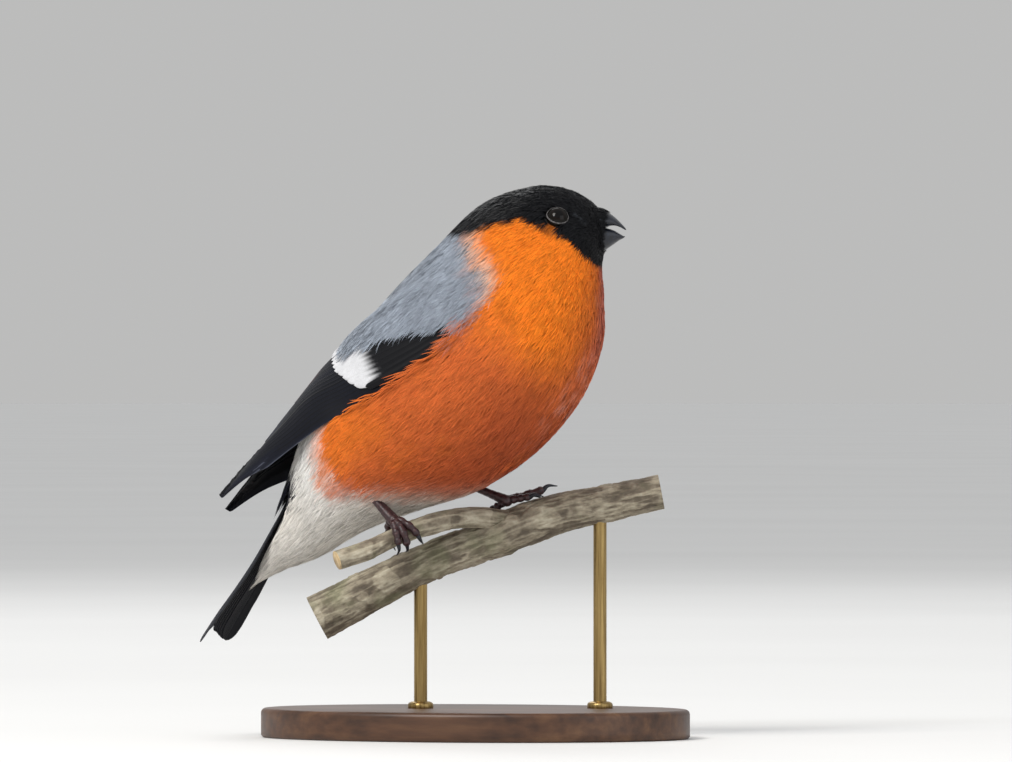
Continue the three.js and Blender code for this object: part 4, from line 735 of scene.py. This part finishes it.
bk_ = rg.uniform(35.5, 37.6, m); bt_ = rg.uniform(-math.pi, math.pi, m); bc_ = np.broadcast_to(BLACK, (m, 3)) * (1 + 0.3 * rg.normal(0, 1, m).clip(-1, 2))[:, None]
Vt, Ct, Gt, Ut = tufts(ruff, bk_, bt_, 2.1 + 0.5 * np.cos(bt_), np.full(m, 0.7), rg.normal(0, 0.12, m), 7, rg, np.full(m, 0.35), np.full(m, 0.05), np.full(m, 0.13), bc_, 0.6 + 0 * bk_, np.stack([0.02 + 0.96 * (bt_ + math.pi) / (2 * math.pi), 0.02 + 0.9 * (bk_ - 35.5) / 2.1], -1))
br_ = Coat(); br_.add(Vt, Ct, Gt, Ut, 3); ob = br_.make("coat_bristles"); total += br_.t

# ---------------------------------------------------------------------- eyes
def eye_material():
    M = Mat("eye_wet"); at = M.t.nodes.new("ShaderNodeAttribute"); at.attribute_name = "iris"; v = M.obj(); a = M.noise(v, 3000, 3)
    c = M.ramp(M.math("ADD", at.outputs["Fac"], M.math("MULTIPLY", M.math("SUBTRACT", a, 0.5), 0.06)), [(0.0, (0.002, 0.002, 0.002)), (0.56, (0.003, 0.002, 0.002)), (0.62, (0.007, 0.004, 0.003)), (0.9, (0.004, 0.003, 0.002))])
    M.l(c, M.b.inputs["Base Color"]); M.set(Roughness=0.06, Coat__Weight=0.34, Coat__Roughness=0.02, Specular__IOR__Level=0.0)
    return M.m
MAT_EYE = eye_material()
def lid_material():
    M = Mat("eye_lid"); v = M.obj(); a = M.noise(v, 2600, 3); c = M.ramp(a, [(0.35, tuple(lin(48, 46, 48))), (0.65, tuple(lin(122, 118, 118)))])
    M.l(c, M.b.inputs["Base Color"]); M.set(Roughness=0.5); M.bump(a, 0.5, 0.0001); return M.m
MAT_LID = lid_material()
for s, c, ax, e1, e2 in EYES:
    nm = "right" if s < 0 else "left"; nr, nc = 40, 64; th = np.linspace(0.001, np.pi - 0.001, nr)[:, None]; ph = (2 * np.pi * np.arange(nc) / nc)[None]
    D_ = ax * np.cos(th)[..., None] + (e1 * np.cos(ph)[..., None] + e2 * np.sin(ph)[..., None]) * np.sin(th)[..., None]
    P = c + D_ * 2.9; V2, lp, ct = with_caps(P.reshape(-1, 3), nr, nc)
    iris = np.broadcast_to(np.sin(th) * 2.9 / 2.1, (nr, nc)).ravel(); iris = np.clip(np.append(iris, [0, 1]), 0, 1)
    ob = new_object(f"eyeball_{nm}", V2, lp, MAT_EYE, counts=ct, attrs={"iris": iris}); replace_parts(ob, f"eye_{nm}")
    # rim of the lids
    ph = 2 * np.pi * np.arange(96) / 96; rear = (1 + 0.07 * np.clip(-np.cos(ph + 0.10), 0, 1) ** 4 + 0.03 * np.clip(np.cos(ph + 0.2), 0, 1) ** 4)
    ca = 2 * np.pi * np.arange(12) / 12; rr = 2.40 + 0.095 * np.cos(ca); hh = 1.70 + 0.10 * np.sin(ca) - 0.05 * np.cos(ca)
    wr = 1 + 0.03 * np.sin(ph * 17) + 0.02 * np.sin(ph * 29)
    R = rr[None] * (rear * (1 + 0.0 * ph))[:, None]; X = R * np.cos(ph)[:, None] * 1.05; Y = R * np.sin(ph)[:, None] * 0.92
    sag = np.sqrt(np.clip(2.9 ** 2 - (X * X + Y * Y), 0.2, None)) - np.sqrt(2.9 ** 2 - 2.42 ** 2)
    P = c + ax * (hh[None] + 0.75 * sag * (1 - 0.0 * X) + 0.03 * (wr[:, None] - 1) * 4)[..., None] + e1 * X[..., None] + e2 * Y[..., None]
    F = grid_faces(96, 12); i = np.arange(12); j = (i + 1) % 12; F = np.concatenate([F, np.stack([95 * 12 + i, 95 * 12 + j, j, i], 1)])
    q = P.reshape(-1, 3) - c; vol = np.einsum("ij,ij->i", q[F[:, 0]], np.cross(q[F[:, 1]], q[F[:, 2]])).sum() + np.einsum("ij,ij->i", q[F[:, 0]], np.cross(q[F[:, 2]], q[F[:, 3]])).sum()
    if vol < 0: F = F[:, ::-1]
    new_object(f"eye_rim_{nm}", P.reshape(-1, 3), F, MAT_LID)

# --------------------------------------------------------------------- perch
AC = np.array([math.cos(rad(18)), math.sin(rad(18)), 0]); AW = np.array([-math.sin(rad(18)), math.cos(rad(18)), 0]); BO = np.array([12.84, 4.17, 0])
BRANCH = np.array([[-45.6, 28.7, 5, 5.7], [-35, 34.2, 5, 5.35], [-25.3, 39.2, 5, 4.95], [-15.7, 43.5, 5, 4.7], [-6.2, 47.0, 5, 4.8], [3.4, 50.8, 5, 5.25], [13, 54.1, 5, 4.95], [22.6, 56.1, 5, 4.5], [32.3, 58.2, 5, 4.4], [37.5, 59.2, 5, 4.3]])
STEM = np.array([[-40.5, 42.9, -12.2, 2.35], [-33, 45.5, -9.4, 2.3], [-26, 48.8, -6.6, 2.3], [-17, 51.9, -3.2, 2.4], [-8.5, 53.1, 0.6, 2.5], [1, 52.3, 4.2, 2.6]])
class Limb:
    def __init__(self, rows):
        self.c = Curve([BO + AC * u + AW * w + np.array([0, 0, z]) for u, z, w, _ in rows]); self.tab = np.stack([np.linspace(0, 1, len(rows)), rows[:, 3]], 1)
    def radius(self, u): return spline(self.tab, self.c.t_of(u))[..., 0]
    def nearest(self, u):
        s = np.linspace(0, 1, 401); return s[np.argmin(np.abs((self.c.at(s) - BO) @ AC - u))]
    def beside(self, s, phi, r):
        s, phi, r = np.broadcast_arrays(np.asarray(s, float), phi, r); c = self.c.at(s); t = self.c.tan(s)
        n = unit(np.array([0, 0, 1.0]) - t * t[..., 2:3]); sd = np.cross(t, n)
        return c + n * (r * np.cos(phi))[..., None] + sd * (r * np.sin(phi))[..., None]
LB, LS = Limb(BRANCH), Limb(STEM)
def bark_material():
    M = Mat("bark_grey"); at = M.t.nodes.new("ShaderNodeAttribute"); at.attribute_name = "groove"; v = M.obj()
    a = M.noise(v, 260, 5, 0.6); b = M.noise(M.obj(), 1500, 4, 0.6); pt = M.noise(M.obj(), 120, 3)
    # the groove value makes the bark darker in its grooves and lighter on ridges: partly the bark's own tone, partly
    # painted shade in the grooves
    base = M.ramp(M.math("ADD", M.math("MULTIPLY", a, 0.55), M.math("MULTIPLY", at.outputs["Fac"], 0.45)), [(0.14, tuple(lin(52, 45, 38))), (0.36, tuple(lin(108, 98, 84))), (0.54, tuple(lin(158, 148, 128))), (0.80, tuple(lin(205, 196, 174)))])
    grn = M.mix(M.math("MULTIPLY", M.ramp(pt, [(0.5, (0, 0, 0)), (0.68, (1, 1, 1))]), 0.35), base, np.array(lin(126, 134, 96)))
    M.l(M.mix(M.math("MULTIPLY", b, 0.35), grn, np.array(lin(84, 76, 66))), M.b.inputs["Base Color"]); M.set(Roughness=0.86); M.bump(b, 0.6, 0.0003); return M.m
MAT_BARK = bark_material()
def wood_end(): 
    M = Mat("cut_wood"); v = M.obj(); a = M.noise(v, 900, 4); c = M.ramp(a, [(0.3, tuple(lin(176, 148, 108))), (0.7, tuple(lin(214, 190, 150)))]); M.l(c, M.b.inputs["Base Color"]); M.set(Roughness=0.8); M.bump(a, 0.4, 0.0002); return M.m
def limb_mesh(name, limb, nlen, nsid, seed, amp):
    s = np.linspace(0, 1, nlen); ph = 2 * np.pi * np.arange(nsid) / nsid; S_, F_ = np.meshgrid(s, ph, indexing="ij"); L_ = limb.c.len; R0 = limb.radius(S_)
    Q = np.stack([S_ * L_, np.cos(F_) * R0, np.sin(F_) * R0], -1) + seed * 37.0
    long = fbm(Q * np.array([0.16, 1.0, 1.0]), 0.62, 5, 0.55); blot = fbm(Q, 0.16, 3); fine = fbm(Q * np.array([0.45, 1, 1]), 2.1, 3)
    ridge = 1 - np.abs(np.clip(long * 1.9, -1, 1)); plate = smooth(0.05, 0.22, blot)
    # groove value: low in the grooves, high on ridges and plates; partly the bark's own tone, partly painted shade
    g = ridge * 0.5 + 0.25 * plate + 0.12 * fine + 0.2
    R = R0 + amp * (ridge - 0.62) * 0.55 + amp * 0.55 * (plate - 0.5) + amp * 0.18 * fine
    knot = sum(h * np.exp(-((S_ - a) * L_ / w) ** 2 - ((np.mod(F_ - f + np.pi, 2 * np.pi) - np.pi) * R0 / w) ** 2) for a, f, h, w in ((0.16, 2.2, 0.7, 2.0), (0.55, 3.6, 0.9, 2.2), (0.83, 1.2, 0.7, 1.6)))
    P = limb.beside(S_, F_, R + knot * (1.0 if amp > 0.3 else 0.4)); V2, lp, ct = with_caps(P.reshape(-1, 3), nlen, nsid)
    ob = new_object(name, V2, lp, MAT_BARK, counts=ct, attrs={"groove": np.append(g.ravel(), [0.8, 0.8])})
    ob.data.materials.append(MAT_CUT); mi = np.zeros(len(ct), np.int32); mi[-2 * nsid:] = 1; ob.data.polygons.foreach_set("material_index", mi)
    return ob
MAT_CUT = wood_end()
b1 = limb_mesh("perch_main", LB, 420, 144, 1, 0.45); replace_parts(b1, "perch_branch")
b2 = limb_mesh("perch_stem", LS, 260, 72, 2, 0.20)

# ---------------------------------------------------------------------- legs
def frames(C):
    t = unit(np.gradient(C, axis=0)); n = np.array([0, 0, 1.0]); n = n - t[0] * (n @ t[0])
    if np.linalg.norm(n) < 0.2: n = np.array([0, 1.0, 0]) - t[0] * t[0][1]
    N = [n / np.linalg.norm(n)]
    for i in range(1, len(C)): m = N[-1] - t[i] * (N[-1] @ t[i]); N.append(m / np.linalg.norm(m))
    N = np.array(N); return t, N, np.cross(t, N)
def tube(C, R, sides):
    """Closed tube; R is (rings, sides)."""
    t, N, B = frames(C); a = 2 * np.pi * np.arange(sides) / sides
    P = C[:, None] + N[:, None] * (R * np.cos(a)[None])[..., None] + B[:, None] * (R * np.sin(a)[None])[..., None]
    return with_caps(P.reshape(-1, 3), len(C), sides)
def dome(C, R, k0=True, k1=True):
    """Add domed ends to a run of centres and radii."""
    t = unit(np.gradient(C, axis=0)); Cs = [C]; Rs = [R]
    an = np.linspace(0.15, 1.0, 7) * np.pi / 2
    if k1: Cs.append(C[-1] + t[-1] * (np.sin(an) * R[-1].mean())[:, None]); Rs.append(R[-1] * np.maximum(np.cos(an), 0.06)[:, None])
    if k0: Cs.insert(0, (C[0] - t[0] * (np.sin(an) * R[0].mean())[:, None])[::-1]); Rs.insert(0, (R[0] * np.maximum(np.cos(an), 0.06)[:, None])[::-1])
    return np.concatenate(Cs), np.concatenate(Rs)
def join(parts):
    V = []; L = []; K = []; n = 0
    for v, l, k in parts: V.append(v); L.append(l + n); K.append(k); n += len(v)
    return np.concatenate(V), np.concatenate(L), np.concatenate(K)
def scale_material():
    M = Mat("leg_scales"); v = M.obj(); a = M.noise(v, 1400, 3); c = M.ramp(a, [(0.3, tuple(lin(36, 22, 26))), (0.6, tuple(lin(60, 38, 40))), (0.8, tuple(lin(86, 60, 58)))])
    M.l(c, M.b.inputs["Base Color"]); M.l(M.math("ADD", M.math("MULTIPLY", a, 0.2), 0.32), M.b.inputs["Roughness"]); M.bump(a, 0.3, 0.0001); return M.m
MAT_LEG = scale_material()
FEET = {"right": (LS, -26, 6, (-22.6, -8.6, 64.6), [(4.6, 150, 1.0), (0.4, 175, 1.05), (-2.6, 160, 0.95), (-1.0, -140, 1.0)]),
        "left": (LB, 2.6, 0, (-2.8, 8.4, 63.2), [(8.0, 38, 0.95), (11.5, 2, 1.05), (7.6, -42, 0.95), (-6.5, -34, 1.0)])}
def scutes(x, a, pitch, amp, front=0.0):
    ph = np.mod(x / pitch, 1.0); return amp * (smooth(0.0, 0.25, ph) * (1 - 0.55 * ph) - 0.35)[:, None] * (0.35 + 0.65 * np.clip(np.cos(a - front), 0, 1))[None]
for nm, (limb, u, lean, knee, toes) in FEET.items():
    s0 = limb.nearest(u); Rr = float(limb.radius(np.array(s0))); pad = limb.beside(s0, rad(lean), Rr + 1.55); knee = np.array(knee, float); ln = limb.c.len
    parts = []; inner = knee + np.array([4.5, -np.sign(knee[1]) * 3.2, 4.0]); cv = Curve([inner, knee, knee * 0.5 + pad * 0.5, pad + np.array([0, 0, 0.3])]); f = np.linspace(0, 1, 110); a = 2 * np.pi * np.arange(24) / 24
    R = (1.05 + 0.35 * smooth(0.75, 1, f) + 0.25 * smooth(0.3, 0, f))[:, None] * (1 + 0.10 * np.cos(2 * a))[None] + scutes(f * cv.len, a, 1.5, 0.22)
    parts.append(tube(*dome(cv.at(f), R), 24))
    th = np.linspace(0.02, np.pi - 0.02, 20)[:, None]; ph_ = (2 * np.pi * np.arange(28) / 28)[None]
    B_ = pad + np.array([0, 0, 0.25]) + 1.5 * np.stack([np.sin(th) * np.cos(ph_), np.sin(th) * np.sin(ph_), np.cos(th) * 0.95 + 0 * ph_], -1); parts.append(with_caps(B_.reshape(-1, 3), 20, 28))
    for ti, (run, turn, r) in enumerate(toes):
        i = np.arange(9) / 8; phi = np.radians(lean + (turn - lean) * i * (0.55 + 0.45 * i)); s_ = s0 + run * i / ln
        cv = Curve(limb.beside(s_, phi, limb.radius(s_) + r + 0.42 + 0.5 * (1 - smooth(0, 0.35, i))))
        reach = math.hypot(run, rad(abs(turn)) * (Rr + r)); end = min(1, max(0, (reach - 3.45) / reach)); f = np.linspace(0, end, 70); a = 2 * np.pi * np.arange(20) / 20
        R = ((r - 0.16 * f / max(end, 0.01)) * (1 + 0.12 * np.cos(f / max(end, 0.01) * np.pi * 6)))[:, None] * np.ones((1, 20)) * 1.02
        C = cv.at(f); outw = unit(C - limb.c.at(np.clip(s0 + run * f / ln, 0, 1))); t, N, B = frames(C); fr = np.arctan2((outw * B).sum(-1), (outw * N).sum(-1))
        ph = np.mod(f * cv.len / 1.15, 1.0); R = R + 0.17 * (smooth(0, 0.3, ph) * (1 - 0.6 * ph) - 0.3)[:, None] * np.clip(np.cos(a[None] - fr[:, None]), 0, 1)
        parts.append(tube(*dome(C, R, k0=False), 20))
        je = float((r - 0.16) * 1.10); A = cv.at(np.array([end]))[0]; d = cv.tan(np.array([end]))[0]; last = cv.at(np.array([1.0]))[0]; o = unit(A - limb.c.at(np.array([min(1, max(0, s0 + run / ln))]))[0])
        root = A + d * (je * 0.62 + 0.05); tipp = last + d * 0.6 + o * 0.1; mid = (root + tipp) / 2 + o * 0.75; cc = Curve([root, mid, tipp]); f = np.linspace(0, 1, 26)
        Rc = np.repeat((0.62 + (0.10 - 0.62) * f ** 0.9)[:, None], 16, 1) * (1 + 0.12 * np.cos(2 * np.pi * np.arange(16) / 16 * 2))[None]
        ob = new_object(f"nail_{nm}_{ti + 1}", *tube(*dome(cc.at(f), Rc, k0=True), 16)[:2], MAT_HORN, counts=tube(*dome(cc.at(f), Rc, k0=True), 16)[2]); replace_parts(ob, f"claw_{nm}_{ti + 1}")
    # short feathers round the top of the shank, on a cone that comes out of the belly
    hip = knee + np.array([6.0, -np.sign(knee[1]) * 3.4, 6.5]); end_ = knee + unit(pad - knee) * 2.6; axis = Curve([hip, (hip + knee) / 2 + np.array([0.3, 0, 0.2]), knee, end_]); CA = np.linspace(0, 1.25, 60); CB = np.linspace(-3.6, 3.6, 80)
    Cc = axis.at(np.clip(CA, 0, 1)) + unit(end_ - knee)[None] * (np.clip(CA - 1, 0, 1) * axis.len)[:, None]; tt_, nn_, bb_ = frames(Cc); rad_ = 4.6 + (1.45 - 4.6) * smooth(-0.1, 0.95, CA)
    CP = Cc[:, None] + (nn_[:, None] * np.cos(CB)[None, :, None] + bb_[:, None] * np.sin(CB)[None, :, None]) * rad_[:, None, None]
    cone = Surf(CA, CB, CP, CP - Cc[:, None]); rg = np.random.default_rng(9); m = 300
    ca_ = rg.uniform(0.10, 0.86, m); cb_ = rg.uniform(-math.pi, math.pi, m); colr = mixc(np.broadcast_to(OFF_WHITE * 0.92, (m, 3)), np.broadcast_to(lin(150, 140, 132), (m, 3)), smooth(0.55, 0.95, ca_))
    Vt, Ct, Gt, Ut = tufts(cone, ca_, cb_, np.full(m, 3.0), np.full(m, 1.0), rg.normal(0, 0.1, m), 9, rg, np.full(m, 0.7), np.full(m, 0.1), np.full(m, 0.2), colr, 0 * ca_, np.stack([0.02 + 0.96 * (cb_ + math.pi) / (2 * math.pi), 0.02 + 0.9 * ca_], -1))
    th_ = Coat(); th_.add(Vt, Ct, Gt, Ut, 3); ob = th_.make(f"coat_thigh_{nm}"); total += th_.t
    V2, lp, ct = join(parts); ob = new_object(f"shank_{nm}", V2, lp, MAT_LEG, counts=ct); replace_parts(ob, f"leg_{nm}")

# --------------------------------------------------------------------- stand
def lathe(prof, cx, cy, n, rx=1.0, ry=1.0):
    a = 2 * np.pi * np.arange(n) / n; p = np.array(prof)
    return np.stack([cx + p[:, :1] * np.cos(a)[None] * rx, cy + p[:, :1] * np.sin(a)[None] * ry, np.broadcast_to(p[:, 1:2], (len(p), n))], -1)
arc = [(53 - 1.2 + 1.2 * math.sin(x), 7 - 1.2 + 1.2 * math.cos(x)) for x in np.linspace(math.pi / 2, 0, 9)]
prof = [(52.5, 0), (53, 0.5)] + [(53, z) for z in (2.0, 4.0)] + arc + [(x, 7) for x in (48, 40, 28, 14, 3)]
a = 2 * np.pi * np.arange(192) / 192; pr = np.array(prof)
B_ = np.stack([5 + (pr[:, :1]) * np.cos(a)[None], 4 + (pr[:, :1] - 15 * np.minimum(1, pr[:, :1] / 38.0)) * np.sin(a)[None], np.broadcast_to(pr[:, 1:2], (len(pr), 192))], -1)
V2, lp, ct = with_caps(B_.reshape(-1, 3), len(pr), 192)
def wood_material():
    M = Mat("base_walnut"); v = M.obj(scale=(6, 60, 60)); n1 = M.noise(v, 4.0, 5, 0.6); n2 = M.noise(M.obj(scale=(30, 700, 400)), 1.0, 3)
    c = M.ramp(M.math("ADD", M.math("MULTIPLY", n1, 0.7), M.math("MULTIPLY", n2, 0.3)), [(0.30, tuple(lin(44, 28, 19))), (0.50, tuple(lin(78, 52, 35))), (0.70, tuple(lin(104, 74, 50)))])
    M.l(c, M.b.inputs["Base Color"]); M.l(M.math("ADD", M.math("MULTIPLY", n2, 0.16), 0.34), M.b.inputs["Roughness"]); M.bump(n2, 0.15, 0.0002); return M.m
ob = new_object("base_oval", V2, lp, wood_material(), counts=ct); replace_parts(ob, "stand_base")
def metal_material():
    M = Mat("rod_brushed"); v = M.obj(scale=(2200, 2200, 60)); n1 = M.noise(v, 1.0, 3); c = M.ramp(n1, [(0.3, tuple(lin(122, 100, 62))), (0.7, tuple(lin(176, 150, 100)))])
    M.l(c, M.b.inputs["Base Color"]); M.set(Metallic=0.95); M.l(M.math("ADD", M.math("MULTIPLY", n1, 0.2), 0.28), M.b.inputs["Roughness"]); M.bump(n1, 0.1, 0.0001); return M.m
MAT_ROD = metal_material()
for i, u in enumerate((-20.7, 22.6)):
    s_ = LB.nearest(u); c = LB.c.at(np.array([s_]))[0]; r = float(LB.radius(np.array(s_))); z0, z1 = 3.5, c[2] - r + 4.0
    pf = [(1.2, z0), (1.5, z0 + 0.1), (1.6, z0 + 0.4)] + [(1.6, z) for z in np.linspace(z0 + 1, z1 - 1, 12)] + [(1.6, z1 - 0.4), (1.5, z1 - 0.1), (1.2, z1)]
    V2, lp, ct = with_caps(lathe(pf, c[0], c[1], 48).reshape(-1, 3), len(pf), 48); ob = new_object(f"rod_{i + 1}", V2, lp, MAT_ROD, counts=ct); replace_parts(ob, f"stand_rod_{i + 1}")
    # a small collar where the rod meets the base
    pf = [(1.65, 6.9), (3.0, 6.9), (3.1, 7.1), (3.1, 7.9), (2.9, 8.3), (2.3, 8.6), (1.65, 8.7)]
    V2, lp, ct = with_caps(lathe(pf, c[0], c[1], 48).reshape(-1, 3), len(pf), 48); ob = new_object(f"collar_{i + 1}", V2, lp, MAT_ROD, counts=ct)

# -------------------------------------------------------- floor, light, camera
def floor_material():
    M = Mat("floor_pale"); v = M.obj(); n1 = M.noise(v, 3.0, 3); c = M.ramp(n1, [(0.3, (0.74, 0.738, 0.73)), (0.7, (0.77, 0.768, 0.76))]); M.l(c, M.b.inputs["Base Color"]); M.set(Roughness=0.9); return M.m
a = 2 * np.pi * np.arange(128) / 128; R_ = np.array([0.05, 0.6, 3.0, 14.0, 40.0])
V = np.concatenate([[[0, 0, 0]], np.stack([R_[:, None] * np.cos(a)[None], R_[:, None] * np.sin(a)[None], np.zeros((5, 128))], -1).reshape(-1, 3)])
me = bpy.data.meshes.new("floor"); F = [(0, 1 + i, 1 + (i + 1) % 128) for i in range(128)] + [(1 + r * 128 + i, 1 + (r + 1) * 128 + i, 1 + (r + 1) * 128 + (i + 1) % 128, 1 + r * 128 + (i + 1) % 128) for r in range(4) for i in range(128)]
me.from_pydata([tuple(v) for v in V], [], F); me.materials.append(floor_material()); fl = bpy.data.objects.new("floor", me); bpy.context.scene.collection.objects.link(fl); fl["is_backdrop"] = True
fl.location.z = -0.00005

O = (BO + OFF) * 0.001; O[2] = 0.086
w = bpy.data.worlds.new("studio"); bpy.context.scene.world = w; w.use_nodes = True; bg = w.node_tree.nodes["Background"]; bg.inputs[1].default_value = 0.68
nt = w.node_tree; tc_ = nt.nodes.new("ShaderNodeTexCoord"); sx = nt.nodes.new("ShaderNodeSeparateXYZ"); nt.links.new(tc_.outputs["Generated"], sx.inputs[0]); rp = nt.nodes.new("ShaderNodeValToRGB"); nt.links.new(sx.outputs[2], rp.inputs[0]); nt.links.new(rp.outputs[0], bg.inputs[0])
rp.color_ramp.elements[0].position = 0.04; rp.color_ramp.elements[0].color = (0.74, 0.74, 0.735, 1); rp.color_ramp.elements[1].position = 0.45; rp.color_ramp.elements[1].color = (0.98, 0.99, 1.0, 1)
def area(name, pos, size, power, col):
    l = bpy.data.lights.new(name, "AREA"); l.energy = power; l.size = size; l.color = col; ob = bpy.data.objects.new(name, l); bpy.context.scene.collection.objects.link(ob)
    p = O + AC * pos[0] - AW * pos[1] + np.array([0, 0, pos[2]]); ob.location = p; ob.rotation_euler = Vector(O - p).to_track_quat("-Z", "Y").to_euler(); return ob
area("key", (-0.85, 1.0, 1.5), 0.7, 21.0, (1.0, 0.965, 0.91))
area("fill", (1.5, 1.3, 0.5), 1.4, 7.0, (0.92, 0.96, 1.0))
area("spark", (-0.95, 1.35, 1.15), 0.30, 9.0, (0.94, 0.97, 1.0))
area("rim", (-0.3, -1.5, 1.3), 0.9, 8.5, (1.0, 1.0, 1.0))
cam = bpy.data.cameras.new("camera"); cam.sensor_width = 36; cam.lens = 400.08; cam.clip_start = 0.05; cam.clip_end = 120
co = bpy.data.objects.new("camera", cam); bpy.context.scene.collection.objects.link(co); co.location = O - AW * 2.710; co.rotation_euler = Vector(AW).to_track_quat("-Z", "Y").to_euler()
bpy.context.scene.camera = co; bpy.context.scene.view_settings.view_transform = "Standard"

tri = sum(sum(len(p.vertices) - 2 for p in o.data.polygons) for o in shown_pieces() if not o.name.startswith("coat"))
print("other triangles", tri, "coat", total)
